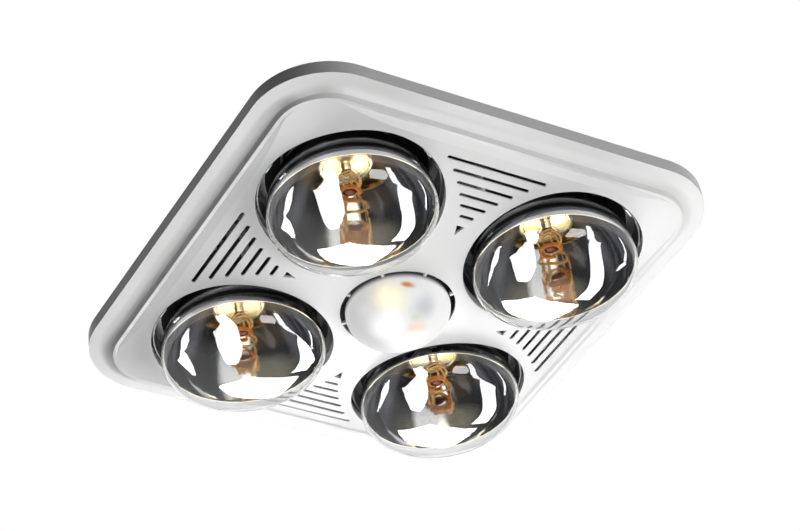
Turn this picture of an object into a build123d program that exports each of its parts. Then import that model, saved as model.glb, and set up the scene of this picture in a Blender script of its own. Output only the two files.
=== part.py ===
from build123d import *
from math import atan2, cos, radians, sin, sqrt
import os

os.makedirs("parts", exist_ok=True)

# Frame: Z is up, the ceiling's underside is Z = 0, and the facia faces down.
# The origin lies on the ceiling plane, at the middle of the facia.

# Facia
panel_size = 375.0
panel_corner = 57.0
panel_wall = 2.2
skirt_wall = 2.0
rim_depth = 10.8
edge_width = 27.7
dome_depth = 37.8
dome_edge_depth = 22.0
dome_power = 6
dome_crown = 30.0
dome_margin = 5.0
dome_steps = 24
dome_tolerance = 0.05
bevel_start_inset = 1.2
bevel_start_drop = 0.9
bevel_run = 7.4
bevel_top_depth = 19.2
bead_rise_run = 0.6
bead_depth = 18.8
bead_width = 2.8
riser_run = 1.8
riser_foot_depth = 15.2
cove_run = 9.8
cove_end_depth = 11.2
cove_sag_shares = (0.35, 0.65)
collar_wall = 1.6
collar_height = 7.0

# Lamp places and the facia's openings
lamp_offset = 86.5
lamp_hole_radius = 69.0
centre_hole_radius = 43.8
centre_tab_width = 2.2
centre_tab_inner_radius = 40.8
centre_tab_count = 8
slot_edge = 9.4
slot_pitch = 9.2
slot_width = 3.0
slot_relief = 1.2
slot_lip = 1.0
slot_half_shares = (0.483, 0.371, 0.275, 0.191, 0.127, 0.069)
arrow_base_inset = 54.8
arrow_tip_inset = 64.2
arrow_half_width = 3.3
post_inset = 32.4
post_radius = 3.0
post_top = 9.0
post_tip_chamfer = 1.0

# Housing
flange_width = 23.0
box_height = 150.0
sheet = 1.2
box_corner = 4.0
flange_inset = 15.5
flange_corner = 30.0
lip_width = 12.0
fixing_edge = 9.0
fixing_span_y = 200.0
fixing_hole_radius = 2.5

# Heat shield and its clips
shield_inset = 29.5
shield_corner = 10.0
shield_sheet = 1.0
well_radius = 67.5
well_bottom_depth = 19.5
well_throat_radius = 60.0
well_top_radius = 47.0
well_top = 17.0
shield_centre_radius = 50.0
window_edge = 11.0
window_width = 14.0
window_length = 24.0
window_offset = 20.0
clip_count = 3
clip_first_angle = 60.0
clip_width_angle = 8.0
clip_sheet = 0.9
clip_gap = 0.15
clip_top_depth = 9.5
grommet_radius = 5.0
grommet_flange_radius = 7.0
grommet_flange = 1.4
grommet_nose = 4.0

# Heat lamps, R125 reflector size
bulb_radius = 62.5
bulb_edge_radius = 15.0
bulb_widest_depth = 40.3
bulb_apex_depth = 64.0
bulb_length = 180.0
bulb_neck_radius = 19.0
bulb_back_height = 106.0
bulb_neck_height = 8.0
mirror_start = 1.5
mirror_height = 90.0

# Centre lamp, R80 reflector size
globe_radius = 40.0
globe_edge_radius = 18.0
globe_widest_depth = 38.0
globe_apex_depth = 66.0
globe_length = 114.0
globe_neck_radius = 14.5
globe_back_height = 42.0
globe_neck_height = 4.0

# What every lamp shares
back_radius_shares = (0.908, 0.69, 0.414, 0.207, 0.057)
back_height_shares = (0.189, 0.379, 0.567, 0.718, 0.868)
glass_wall = 1.2
mirror_skin = 0.4
seat_radius = 11.8
seat_shoulder = 9.0
seat_height = 20.0
lamp_gap = 0.3
cap_height = 27.0
cap_shell_height = 19.0
cap_shell_radius = 12.9
cap_top_wall = 1.2
cap_thread_radius = 13.25
cap_thread_core = 12.45
cap_thread_count = 4
cap_thread_pitch = 3.6
cap_cone_height = 24.0
cap_cone_radius = 8.0
cap_contact_radius = 5.0
stem_radius = 4.5
stem_drop = 104.0
lead_wire_radius = 0.8
lead_wire_spread = 7.5
lead_wire_drop = 18.0
coil_radius = 1.5
coil_arc = 300.0
deflector_radius = 18.0
deflector_rise = 8.8
deflector_sheet = 0.8

# Lampholders and their brackets
holder_mouth = 32.0
holder_above = 10.0
holder_radius = 22.0
holder_waist_radius = 19.0
holder_waist_height = 20.0
holder_bore_radius = 13.6
holder_bore_gap = 0.5
holder_edge = 1.2
bracket_sheet = 1.5
bracket_width = 40.0
bracket_overhang = 20.0
bracket_tab = 24.0
bracket_tail_hole_radius = 4.0
bracket_tail_hole_offset = 10.5
centre_bracket_width = 36.0
centre_bracket_span = 112.0
centre_foot = 15.0

# Blower
blower_x = -12.0
blower_y = -16.0
scroll_bottom = 84.0
scroll_wall = 2.0
scroll_radius = 58.0
scroll_step = 6.0
duct_low_rise = 26.0
tongue_radius = 8.0
inlet_radius = 37.0
inlet_lip = 4.0
ear_radius = 8.0
impeller_radius = 48.0
impeller_eye_radius = 38.0
impeller_bottom_gap = 4.0
impeller_top_gap = 6.0
impeller_ring = 2.0
blade_root_sink = 0.8
blade_count = 28
blade_sheet = 1.2
blade_sweep = 4.5
blade_bow = 1.4
hub_radius = 9.0
hub_height = 18.0

# Motor
motor_radius = 36.0
motor_wall = 1.5
motor_height = 37.0
motor_boss_radius = 11.0
motor_boss_height = 7.0
motor_ear_reach = 43.0
motor_ear_radius = 6.5
motor_ear_count = 3
shaft_radius = 4.0
shaft_bottom_gap = 2.0
shaft_top_reach = 3.0
bearing_radius = 8.0
end_cap_spigot = 3.0
vent_count = 6
vent_length = 12.0
vent_width = 3.0
fit_clearance = 0.05
stator_inner_radius = 22.5
stator_height = 20.0
stator_rise = 9.0
winding_inner_radius = 24.0
winding_radius = 32.0
winding_height = 5.0
winding_slot_radius = 30.0
winding_edge = 0.8
stator_slot_count = 12
stator_slot_width = 4.0
stator_slot_mouth = 1.6
rotor_radius = 22.0

# Duct spigot and damper
spigot_radius = 39.0
spigot_wall = 1.5
spigot_length = 66.0
spigot_y = 35.0
spigot_z = 110.0
spigot_plate_width = 92.0
spigot_plate_height = 78.0
spigot_plate_corner = 6.0
spigot_screw_x = 40.0
spigot_screw_z = 33.0
outlet_width = 48.0
outlet_height = 56.0
outlet_corner = 14.0
outlet_rise = 6.0
flap_reach = 33.0
flap_rise = 3.0
flap_sheet = 1.2
flap_gap = 1.2
flap_pin_radius = 1.5
flap_knuckle_radius = 3.0
flap_knuckle_length = 10.0
flap_knuckle_offset = 20.0
flap_pin_inset = 0.5
stop_depth = 2.4
stop_width = 3.0
stop_drop = 6.0

# Terminal box
tbox_inset_x = 61.0
tbox_inset_y = 45.0
tbox_length = 84.0
tbox_width = 60.0
tbox_height = 32.0
tbox_wall = 2.0
tbox_corner = 4.0
cover_sheet = 2.5
cover_gap = 0.3
hinge_radius = 3.2
hinge_pin_radius = 1.5
hinge_ear_width = 8.0
hinge_ear_offset = 30.0
hinge_set_back = 4.0
latch_width = 14.0
latch_height = 9.0
hinge_knuckle_width = 6.0
ear_foot_drop = 11.0
cover_notch = 2.0
latch_sheet = 1.5
tbox_screw_offset = 32.0
tbox_screw_row = 22.0
block_length = 46.0
block_width = 16.0
block_height = 14.0
block_offset_x = -4.0
block_offset_y = 12.0
block_well_count = 5
block_well_pitch = 9.0
block_well_radius = 2.4
block_well_depth = 5.0
gland_radius = 9.0
gland_hex_radius = 10.0
gland_hex = 5.0
gland_dome = 15.0
gland_thread_radius = 7.0
gland_bore_radius = 4.5
gland_round = 3.0
gland_rise = 17.0

# Capacitor and thermal cut-out
capacitor_inset_x = 49.0
capacitor_inset_y = 53.0
capacitor_length = 48.0
capacitor_width = 22.0
capacitor_height = 34.0
capacitor_edge = 3.0
capacitor_tab = 10.0
cutout_y = -70.0
cutout_radius = 8.0
cutout_height = 7.0
cutout_tab_height = 6.0
cutout_tab_width = 4.0
cutout_tab_sheet = 0.8
cutout_tab_spread = 4.0

# Wiring
loom_radius = 3.0
loom_inset = 31.0
loom_z = 141.0
loom_bend = 30.0
loom_entry_bend = 9.0
loom_entry_inset = 39.0
loom_end_inset = 49.0
loom_hole_radius = 5.0
tail_radius = 1.8
tail_bend = 7.0
centre_tail_x = 98.0
centre_tail_z = 74.0
loom_clip_wall = 1.5
loom_clip_width = 8.0
lead_radius = 2.2
lead_rise = 7.0
lead_bend_share = 0.375
lead_inside = 8.0
loom_inside = 12.0
loom_clip_offset = 44.0

# Fasteners
m4_radius = 2.0
m4_head_radius = 3.9
m4_head = 2.4
m3_radius = 1.5
m3_head_radius = 2.8
m3_head = 2.0
screw_length = 8.0
screw_clearance = 0.1
screw_slot = 0.9
rivet_head = 1.2
rivet_rise = 14.0
lip_screw_row = 100.0
holder_screw_offset = 13.5
corner_screw_inset = 20.0
motor_screw_length = 5.0

# Cuts run this far past what they cut
overrun = 5.0

# Values worked out from the ones above
panel_half = panel_size / 2
platform_half = panel_half - edge_width
slot_row = platform_half - slot_edge
arrow_base_row = slot_row - arrow_base_inset
arrow_tip_row = slot_row - arrow_tip_inset
post_row = platform_half - post_inset
flange_half = panel_half - flange_inset
flange_size = 2 * flange_half
fixing_span_x = flange_size - 2 * fixing_edge
corner_screw_row = flange_half - corner_screw_inset
box_half = flange_half - flange_width
box_size = 2 * box_half
box_inner = box_half - sheet
shield_size = panel_size - 2 * shield_inset
window_row = box_half - window_edge
flap_x = box_half + flap_reach
tbox_x = box_half - tbox_inset_x
tbox_y = tbox_inset_y - box_half
capacitor_x = capacitor_inset_x - box_half
capacitor_y = capacitor_inset_y - box_half
loom_row = box_half - loom_inset
loom_entry_x = box_half - loom_entry_inset
loom_end_x = box_half - loom_end_inset
plate_top = box_height + sheet
shield_top = -sheet
shield_bottom = shield_top - shield_sheet
corner_centre = panel_half - panel_corner
dome_gain = (dome_depth - dome_edge_depth) / platform_half**2
facia_reach = dome_depth + overrun
centre_tab_length = 2 * (centre_hole_radius - centre_tab_inner_radius)
lamp_quarters = ((-1, -1), (1, -1), (-1, 1), (1, 1))
lamp_places = [(sx * lamp_offset, sy * lamp_offset) for sx, sy in lamp_quarters]
heat_tip = bulb_length - bulb_apex_depth
globe_tip = globe_length - globe_apex_depth
holder_top = heat_tip + holder_above
centre_holder_top = globe_tip + holder_above
duct_low = blower_y + duct_low_rise
duct_high = blower_y + scroll_step + scroll_radius + 2 * scroll_step
second_radius = scroll_radius + scroll_step
third_radius = second_radius + scroll_step
second_y = blower_y + scroll_step
third_x = blower_x + scroll_step
scroll_ears = [
    (blower_x - second_radius - ear_radius, second_y),
    (blower_x, blower_y - scroll_radius - ear_radius),
    (third_x, duct_high + ear_radius),
    (blower_x + scroll_radius + ear_radius, blower_y),
]
tbox_screws = [(tbox_x + side * tbox_screw_offset, tbox_y + tbox_screw_row) for side in (-1, 1)]
capacitor_screw = (capacitor_x - capacitor_length / 2 - capacitor_tab / 2, capacitor_y)


def keep(piece, label):
    """Label a finished piece and write its file."""
    piece.label = label
    export_step(piece, f"parts/{label}.step")


def upright(x, y):
    """A plane through (x, y) whose own X is radial and whose own Y is the height."""
    return Plane(origin=(x, y, 0), x_dir=(1, 0, 0), z_dir=(0, -1, 0))


def upright_axis(x, y):
    """The vertical axis through (x, y)."""
    return Axis((x, y, 0), (0, 0, 1))


# Facia: a dome that follows the rounded square of the platform

def dome_z(x, y):
    """Height of the facia's face: deepest in the middle, rising with a squared-off radius.

    The crown softens the middle, so that the squared-off radius has no peak there.
    """
    half_power = dome_power / 2
    along_x = (x**2 + dome_crown**2) ** half_power
    along_y = (y**2 + dome_crown**2) ** half_power
    reach_squared = (along_x + along_y) ** (1 / half_power) - 2 ** (1 / half_power) * dome_crown**2
    return -(dome_depth - dome_gain * reach_squared)


def above_dome(lift):
    """Everything above the dome, with the dome raised by lift."""
    half = panel_half + dome_margin
    steps = [-half + 2 * half * i / dome_steps for i in range(dome_steps + 1)]
    rows = [[Vector(x, y, dome_z(x, y) + lift) for y in steps] for x in steps]
    face = Face.make_surface_from_array_of_points(rows, tol=dome_tolerance, min_deg=3, max_deg=5)
    return Solid.extrude(face, Vector(0, 0, dome_depth + facia_reach))


def edge_band(shift_in, shift_up):
    """The bevel, bead, riser, cove and rim, carried round the facia's outline."""
    bevel_x = platform_half - bevel_start_inset
    bevel_end = bevel_x + bevel_run
    bead_x = bevel_end + bead_rise_run
    riser_x = bead_x + bead_width
    foot_x = riser_x + riser_run
    cove_x = foot_x + cove_run
    cove_drop = riser_foot_depth - cove_end_depth
    points = [
        (bevel_x - bevel_start_inset, -dome_depth),
        (bevel_x, -dome_edge_depth - bevel_start_drop),
        (bevel_end, -bevel_top_depth),
        (bead_x, -bead_depth),
        (riser_x, -bead_depth),
        (foot_x, -riser_foot_depth),
    ]
    middle = (foot_x + cove_run * cove_sag_shares[0], -riser_foot_depth + cove_drop * cove_sag_shares[1])
    cove_end = (cove_x, -cove_end_depth)
    rim = [cove_end, (panel_half, -rim_depth), (panel_half, 0), (points[0][0], 0), points[0]]

    def moved(point):
        return (point[0] - shift_in, point[1] + shift_up)

    with BuildSketch() as outline:
        RectangleRounded(panel_size, panel_size, panel_corner)
    with BuildPart() as band:
        with BuildSketch(Plane.XZ):
            with BuildLine():
                Polyline(*[moved(point) for point in points])
                ThreePointArc(moved(points[-1]), moved(middle), moved(cove_end))
                Polyline(*[moved(point) for point in rim])
            make_face()
        sweep(path=outline.sketch.faces()[0].outer_wire())
    return band.part


def domed_block(shift_in, shift_up):
    """The facia's outer form, or, moved in and up, the hollow behind it."""
    half = platform_half - bevel_start_inset * 3 / 2 - shift_in
    band = edge_band(shift_in, shift_up)
    with BuildPart() as block:
        add(band)
        with BuildSketch(Plane.XY.offset(-facia_reach)):
            RectangleRounded(2 * half, 2 * half, half - corner_centre)
        extrude(amount=facia_reach + shift_up)
        add(above_dome(shift_up), mode=Mode.INTERSECT)
    return block.part


def slot_row_cuts(growth):
    """One side's vent slots, longest outside, each wider and longer by a growth all round."""
    for index, share in enumerate(slot_half_shares):
        with Locations((slot_row - index * slot_pitch, 0)):
            SlotOverall(2 * (share * lamp_offset + growth), slot_width + 2 * growth, rotation=90)


def slot_group(turn):
    """One side's vent slots with the small arrow at their tip."""
    with Locations(Rotation(0, 0, turn)):
        slot_row_cuts(0)
        Polygon(
            (arrow_base_row, -arrow_half_width),
            (arrow_base_row, arrow_half_width),
            (arrow_tip_row, 0),
            align=None,
        )


with BuildPart() as collars:
    with BuildSketch(Plane.XY.offset(-facia_reach)):
        with Locations(*lamp_places):
            Circle(lamp_hole_radius + collar_wall)
            Circle(lamp_hole_radius, mode=Mode.SUBTRACT)
    extrude(amount=facia_reach)
    add(above_dome(0), mode=Mode.INTERSECT)
    add(above_dome(collar_height), mode=Mode.SUBTRACT)

with BuildPart() as posts:
    post_root = dome_z(post_row, 0) + panel_wall / 2
    with BuildSketch(Plane.XY.offset(post_root)):
        with PolarLocations(post_row, 4):
            Circle(post_radius)
    extrude(amount=post_top - post_root)
    chamfer(posts.edges().group_by(Axis.Z)[-1], post_tip_chamfer)

with BuildPart() as slot_reliefs:
    with BuildSketch(Plane.XY.offset(-facia_reach)):
        for side in range(4):
            with Locations(Rotation(0, 0, 90 * side)):
                slot_row_cuts(slot_relief)
    extrude(amount=facia_reach)
    add(above_dome(slot_lip), mode=Mode.INTERSECT)

facia_form = domed_block(0, 0)
facia_hollow = domed_block(skirt_wall, panel_wall)

with BuildPart() as facia:
    add(facia_form)
    add(facia_hollow, mode=Mode.SUBTRACT)
    with BuildSketch(Plane.XY.offset(-facia_reach)):
        with Locations(*lamp_places):
            Circle(lamp_hole_radius)
        Circle(centre_hole_radius)
        with PolarLocations(centre_hole_radius, centre_tab_count):
            Rectangle(centre_tab_length, centre_tab_width, mode=Mode.SUBTRACT)
        for side in range(4):
            slot_group(90 * side)
    extrude(amount=facia_reach, mode=Mode.SUBTRACT)
    add(slot_reliefs.part, mode=Mode.SUBTRACT)
    add(collars.part)
    add(posts.part)
keep(facia.part, "facia")

with BuildPart() as facia_grommets:
    with BuildSketch(Plane.XY.offset(shield_bottom - grommet_flange)):
        with PolarLocations(post_row, 4):
            Circle(grommet_flange_radius)
    extrude(amount=grommet_flange)
    with BuildSketch(Plane.XY.offset(shield_bottom)):
        with PolarLocations(post_row, 4):
            Circle(grommet_radius - fit_clearance)
    extrude(amount=shield_sheet + grommet_nose)
    with BuildSketch(Plane.XY.offset(shield_bottom - grommet_flange)):
        with PolarLocations(post_row, 4):
            Circle(post_radius + fit_clearance)
    extrude(amount=grommet_flange + shield_sheet + grommet_nose, mode=Mode.SUBTRACT)
keep(facia_grommets.part, "facia_grommets")


# Housing: a folded box, open below, welded to its ceiling flange, with an inward lip above

spigot_plane = Plane(origin=(box_half, spigot_y, spigot_z), x_dir=(0, 1, 0), z_dir=(1, 0, 0))
box_fixings = [(lip_screw_row * sx, (box_half - lip_width / 2) * sy) for sx, sy in lamp_quarters]
box_fixings += [(y, x) for x, y in box_fixings]
rivet_z = holder_top + bracket_sheet - rivet_rise
rivet_places = [
    (sx * lamp_offset + side * bracket_width / 4, rivet_z) for sx in (-1, 1) for side in (-1, 1)
]

with BuildPart() as ceiling_flange:
    with BuildSketch(Plane.XY.offset(shield_top)):
        RectangleRounded(flange_size, flange_size, flange_corner)
        RectangleRounded(box_size, box_size, box_corner, mode=Mode.SUBTRACT)
        with GridLocations(fixing_span_x, fixing_span_y, 2, 2):
            Circle(fixing_hole_radius, mode=Mode.SUBTRACT)
        with GridLocations(2 * corner_screw_row, 2 * corner_screw_row, 2, 2):
            Circle(m4_radius + screw_clearance, mode=Mode.SUBTRACT)
    extrude(amount=sheet)
keep(ceiling_flange.part, "ceiling_flange")

with BuildPart() as housing:
    with BuildSketch(Plane.XY.offset(shield_top)):
        RectangleRounded(box_size, box_size, box_corner)
        RectangleRounded(2 * box_inner, 2 * box_inner, box_corner - sheet, mode=Mode.SUBTRACT)
    extrude(amount=box_height - shield_top)
    with BuildSketch(Plane.XY.offset(box_height - sheet)):
        RectangleRounded(box_size, box_size, box_corner)
        Rectangle(box_size - 2 * lip_width, box_size - 2 * lip_width, mode=Mode.SUBTRACT)
        with Locations((box_inner - lip_width / 2, (duct_low + duct_high) / 2)):
            notch = duct_high - duct_low + 4 * scroll_wall
            Rectangle(lip_width, notch, mode=Mode.SUBTRACT)
        with Locations(*box_fixings):
            Circle(m4_radius + screw_clearance, mode=Mode.SUBTRACT)
    extrude(amount=sheet)
    with BuildSketch(spigot_plane.offset(overrun)):
        with Locations((0, outlet_rise)):
            RectangleRounded(outlet_width, outlet_height, outlet_corner)
        with GridLocations(2 * spigot_screw_x, 2 * spigot_screw_z, 2, 2):
            Circle(m4_radius + screw_clearance)
    extrude(amount=-overrun - lip_width, mode=Mode.SUBTRACT)
    with BuildSketch(Plane.XZ.offset(box_size)):
        with Locations(*rivet_places):
            Circle(m4_radius + screw_clearance)
    extrude(amount=-2 * box_size, mode=Mode.SUBTRACT)
keep(housing.part, "housing")

with BuildPart() as top_plate:
    with BuildSketch(Plane.XY.offset(box_height)):
        RectangleRounded(box_size, box_size, box_corner)
        with Locations(*box_fixings):
            Circle(m4_radius + screw_clearance, mode=Mode.SUBTRACT)
        with Locations((blower_x, blower_y)):
            Circle(motor_boss_radius, mode=Mode.SUBTRACT)
            with PolarLocations(motor_ear_reach, motor_ear_count):
                Circle(m4_radius + screw_clearance, mode=Mode.SUBTRACT)
        with Locations((loom_entry_x, -loom_row)):
            Circle(loom_hole_radius, mode=Mode.SUBTRACT)
        with Locations(*scroll_ears, capacitor_screw):
            Circle(m4_radius + screw_clearance, mode=Mode.SUBTRACT)
        with Locations(*tbox_screws):
            Circle(m3_radius + screw_clearance, mode=Mode.SUBTRACT)
    extrude(amount=sheet)
keep(top_plate.part, "top_plate")


# Heat shield: a plate, and a spun well welded into it round each heat lamp

with BuildPart() as heat_shield:
    with BuildSketch(Plane.XY.offset(shield_bottom)):
        RectangleRounded(shield_size, shield_size, shield_corner)
        with Locations(*lamp_places):
            Circle(well_radius, mode=Mode.SUBTRACT)
        Circle(shield_centre_radius, mode=Mode.SUBTRACT)
        with PolarLocations(post_row, 4):
            Circle(grommet_radius, mode=Mode.SUBTRACT)
        with GridLocations(2 * window_row, 2 * window_offset, 2, 2):
            Rectangle(window_width, window_length, mode=Mode.SUBTRACT)
        with GridLocations(2 * window_offset, 2 * window_row, 2, 2):
            Rectangle(window_length, window_width, mode=Mode.SUBTRACT)
        with GridLocations(2 * corner_screw_row, 2 * corner_screw_row, 2, 2):
            Circle(m4_radius + screw_clearance, mode=Mode.SUBTRACT)
        with GridLocations(centre_bracket_span + centre_foot, 0, 2, 1):
            Circle(m4_radius + screw_clearance, mode=Mode.SUBTRACT)
    extrude(amount=shield_sheet)
keep(heat_shield.part, "heat_shield")

with BuildPart() as lamp_wells:
    for lamp_x, lamp_y in lamp_places:
        with BuildSketch(upright(lamp_x, lamp_y)):
            with BuildLine():
                Polyline(
                    (well_radius, -well_bottom_depth),
                    (well_radius, shield_top),
                    (well_throat_radius + shield_sheet, shield_top),
                    (well_top_radius + shield_sheet, well_top),
                    (well_top_radius, well_top),
                    (well_throat_radius, shield_bottom),
                    (well_radius - shield_sheet, shield_bottom),
                    (well_radius - shield_sheet, -well_bottom_depth),
                    close=True,
                )
            make_face()
        revolve(axis=upright_axis(lamp_x, lamp_y))
keep(lamp_wells.part, "lamp_wells")

with BuildPart() as well_clips:
    clip_outer = well_radius - shield_sheet - clip_gap
    for lamp_x, lamp_y in lamp_places:
        for index in range(clip_count):
            turn = clip_first_angle + index * 360 / clip_count - clip_width_angle / 2
            clip_plane = Plane(
                origin=(lamp_x, lamp_y, 0),
                x_dir=(cos(radians(turn)), sin(radians(turn)), 0),
                z_dir=(sin(radians(turn)), -cos(radians(turn)), 0),
            )
            with BuildSketch(clip_plane):
                with BuildLine():
                    Polyline(
                        (clip_outer, -well_bottom_depth),
                        (clip_outer, -clip_top_depth),
                        (clip_outer - clip_sheet, -clip_top_depth),
                        (clip_outer - clip_sheet, -well_bottom_depth),
                        close=True,
                    )
                make_face()
            revolve(axis=upright_axis(lamp_x, lamp_y), revolution_arc=clip_width_angle)
keep(well_clips.part, "well_clips")


# Lamps: front, back, neck and seat of a reflector bulb, and what is inside

def bulb_outline(size, inset):
    """Right half of a lamp's section, grown inwards by inset, as radius and height.

    The front is a shallow sphere that runs into a round edge at the widest place,
    the back narrows to the neck, and the neck steps in to the seat inside the cap.
    """
    radius, edge, widest, apex, neck, back_height, neck_height = size
    reach = radius - edge
    drop = widest - apex
    front = (reach**2 + drop**2 - edge**2) / (2 * (drop - edge))
    middle = apex + front
    edge_angle = atan2(reach, middle - widest)

    def on_front(angle):
        return ((front - inset) * sin(angle), middle - (front - inset) * cos(angle))

    def on_edge(angle):
        return (reach + (edge - inset) * sin(angle), widest - (edge - inset) * cos(angle))

    neck_bottom = widest + back_height
    back = [(radius - inset, widest)]
    for radius_share, height_share in zip(back_radius_shares, back_height_shares):
        point = (neck + (radius - neck) * radius_share - inset, widest + back_height * height_share)
        back.append(point)
    back.append((neck - inset, neck_bottom))
    seat_bottom = neck_bottom + neck_height + seat_shoulder
    seat_top = seat_bottom + seat_height - inset
    with BuildLine() as outline:
        ThreePointArc((0, apex + inset), on_front(edge_angle / 2), on_front(edge_angle))
        ThreePointArc(
            on_edge(edge_angle), on_edge((edge_angle + radians(90)) / 2), on_edge(radians(90))
        )
        Spline(*back, tangents=[(0, 1), (0, 1)])
        Polyline(
            back[-1],
            (neck - inset, neck_bottom + neck_height),
            (seat_radius - inset, seat_bottom),
            (seat_radius - inset, seat_top),
            (0, seat_top),
            (0, apex + inset),
        )
    return outline.line


heat_size = (
    bulb_radius,
    bulb_edge_radius,
    -bulb_widest_depth,
    -bulb_apex_depth,
    bulb_neck_radius,
    bulb_back_height,
    bulb_neck_height,
)
globe_size = (
    globe_radius,
    globe_edge_radius,
    -globe_widest_depth,
    -globe_apex_depth,
    globe_neck_radius,
    globe_back_height,
    globe_neck_height,
)
heat_seat = -bulb_widest_depth + bulb_back_height + bulb_neck_height + seat_shoulder
globe_seat = -globe_widest_depth + globe_back_height + globe_neck_height + seat_shoulder


def make_glass(x, y, size):
    """A lamp's closed glass, one wall thick."""
    outside = bulb_outline(size, 0)
    inside = bulb_outline(size, glass_wall)
    with BuildPart() as glass:
        with BuildSketch(upright(x, y)):
            with BuildLine():
                add(outside)
            make_face()
            with BuildLine():
                add(inside)
            make_face(mode=Mode.SUBTRACT)
        revolve(axis=upright_axis(x, y))
    return glass.part


def make_mirror(x, y, size):
    """The reflecting skin on the back of a heat lamp's glass."""
    outside = bulb_outline(size, glass_wall + lamp_gap)
    inside = bulb_outline(size, glass_wall + lamp_gap + mirror_skin)
    low = -bulb_widest_depth + mirror_start
    with BuildPart() as mirror:
        with BuildSketch(upright(x, y)):
            with BuildLine():
                add(outside)
            make_face()
            with BuildLine():
                add(inside)
            make_face(mode=Mode.SUBTRACT)
            with Locations((0, low)):
                Rectangle(bulb_radius, mirror_height, align=(Align.MIN, Align.MIN), mode=Mode.INTERSECT)
        revolve(axis=upright_axis(x, y))
    return mirror.part


def make_cap(x, y, tip):
    """An E27 screw cap: shell with its thread, cone and end contact."""
    base = tip - cap_height
    shell_top = base + cap_shell_height
    cone_top = base + cap_cone_height
    inner = seat_radius + lamp_gap
    with BuildPart() as cap:
        with BuildSketch(upright(x, y)):
            with BuildLine():
                Polyline(
                    (inner, base),
                    (cap_shell_radius, base),
                    (cap_shell_radius, shell_top),
                    (cap_cone_radius, cone_top),
                    (cap_contact_radius, cone_top),
                    (cap_contact_radius, tip),
                    (0, tip),
                    (0, shell_top - cap_top_wall),
                    (inner, shell_top - cap_top_wall),
                    close=True,
                )
            make_face()
            for turn in range(cap_thread_count):
                with Locations((cap_thread_core, base + (turn + 1) * cap_thread_pitch)):
                    Circle(cap_thread_radius - cap_thread_core)
            with Locations((0, base)):
                hollow = cap_shell_height - cap_top_wall
                Rectangle(inner, hollow, align=(Align.MIN, Align.MIN), mode=Mode.SUBTRACT)
        revolve(axis=upright_axis(x, y))
    return cap.part


def make_filament(x, y, top, drop, disc_radius):
    """Glass stem, two lead wires, the filament's coil as one loop held by them, and a heat disc."""
    low = top - drop
    coil_z = low - lead_wire_drop
    gap = radians((360 - coil_arc) / 2)
    with BuildPart() as filament:
        with BuildSketch(Plane.XY.offset(low)):
            with Locations((x, y)):
                Circle(stem_radius)
        extrude(amount=drop)
        for side in (-1, 1):
            start = (x + stem_radius / 2, y + side * stem_radius / 2, low + stem_radius)
            foot = (x + lead_wire_spread * cos(gap), y + side * lead_wire_spread * sin(gap), coil_z)
            with BuildLine() as wire:
                Line(start, foot)
            with BuildSketch(Plane(origin=start, z_dir=wire.line % 0)):
                Circle(lead_wire_radius)
            sweep(path=wire.line)
        with BuildSketch(Plane.XY.offset(low + deflector_rise)):
            with Locations((x, y)):
                Circle(disc_radius)
        extrude(amount=deflector_sheet)
        with BuildLine(Plane.XY.offset(coil_z)) as loop:
            CenterArc((x, y), lead_wire_spread, (360 - coil_arc) / 2, coil_arc)
        with BuildSketch(Plane(origin=loop.line @ 0, z_dir=loop.line % 0)):
            Circle(coil_radius)
        sweep(path=loop.line)
    return filament.part


for number, (lamp_x, lamp_y) in enumerate(lamp_places, start=1):
    keep(make_glass(lamp_x, lamp_y, heat_size), f"heat_lamp_{number}_glass")
    keep(make_mirror(lamp_x, lamp_y, heat_size), f"heat_lamp_{number}_reflector")
    keep(make_cap(lamp_x, lamp_y, heat_tip), f"heat_lamp_{number}_cap")
    heat_stem_top = heat_seat + seat_height - glass_wall - lamp_gap
    heat_filament = make_filament(lamp_x, lamp_y, heat_stem_top, stem_drop, deflector_radius)
    keep(heat_filament, f"heat_lamp_{number}_filament")

keep(make_glass(0, 0, globe_size), "centre_lamp_glass")
keep(make_cap(0, 0, globe_tip), "centre_lamp_cap")
globe_stem_top = globe_seat + seat_height - glass_wall - lamp_gap
globe_stem = make_filament(0, 0, globe_stem_top, globe_back_height, deflector_radius / 2)
keep(globe_stem, "centre_lamp_filament")


# Lampholders and the brackets that carry them

def make_holder(x, y, tip, screw_turn):
    """A porcelain lampholder: wide mouth, narrower waist, threaded bore, two screw holes."""
    mouth = tip - holder_mouth
    top = tip + holder_above
    with BuildPart() as holder:
        with BuildSketch(upright(x, y)):
            with BuildLine():
                Polyline(
                    (holder_bore_radius, mouth),
                    (holder_radius - holder_edge, mouth),
                    (holder_radius, mouth + holder_edge),
                    (holder_radius, mouth + holder_waist_height),
                    (holder_waist_radius, mouth + holder_waist_height + holder_edge),
                    (holder_waist_radius, top - holder_edge),
                    (holder_waist_radius - holder_edge, top),
                    (0, top),
                    (0, tip + holder_bore_gap),
                    (holder_bore_radius, tip + holder_bore_gap),
                    close=True,
                )
            make_face()
        revolve(axis=upright_axis(x, y))
        with BuildSketch(Plane.XY.offset(top)):
            with Locations((x, y)):
                with PolarLocations(holder_screw_offset, 2, start_angle=screw_turn):
                    Circle(m3_radius + fit_clearance)
        extrude(amount=-screw_length, mode=Mode.SUBTRACT)
    return holder.part


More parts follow.
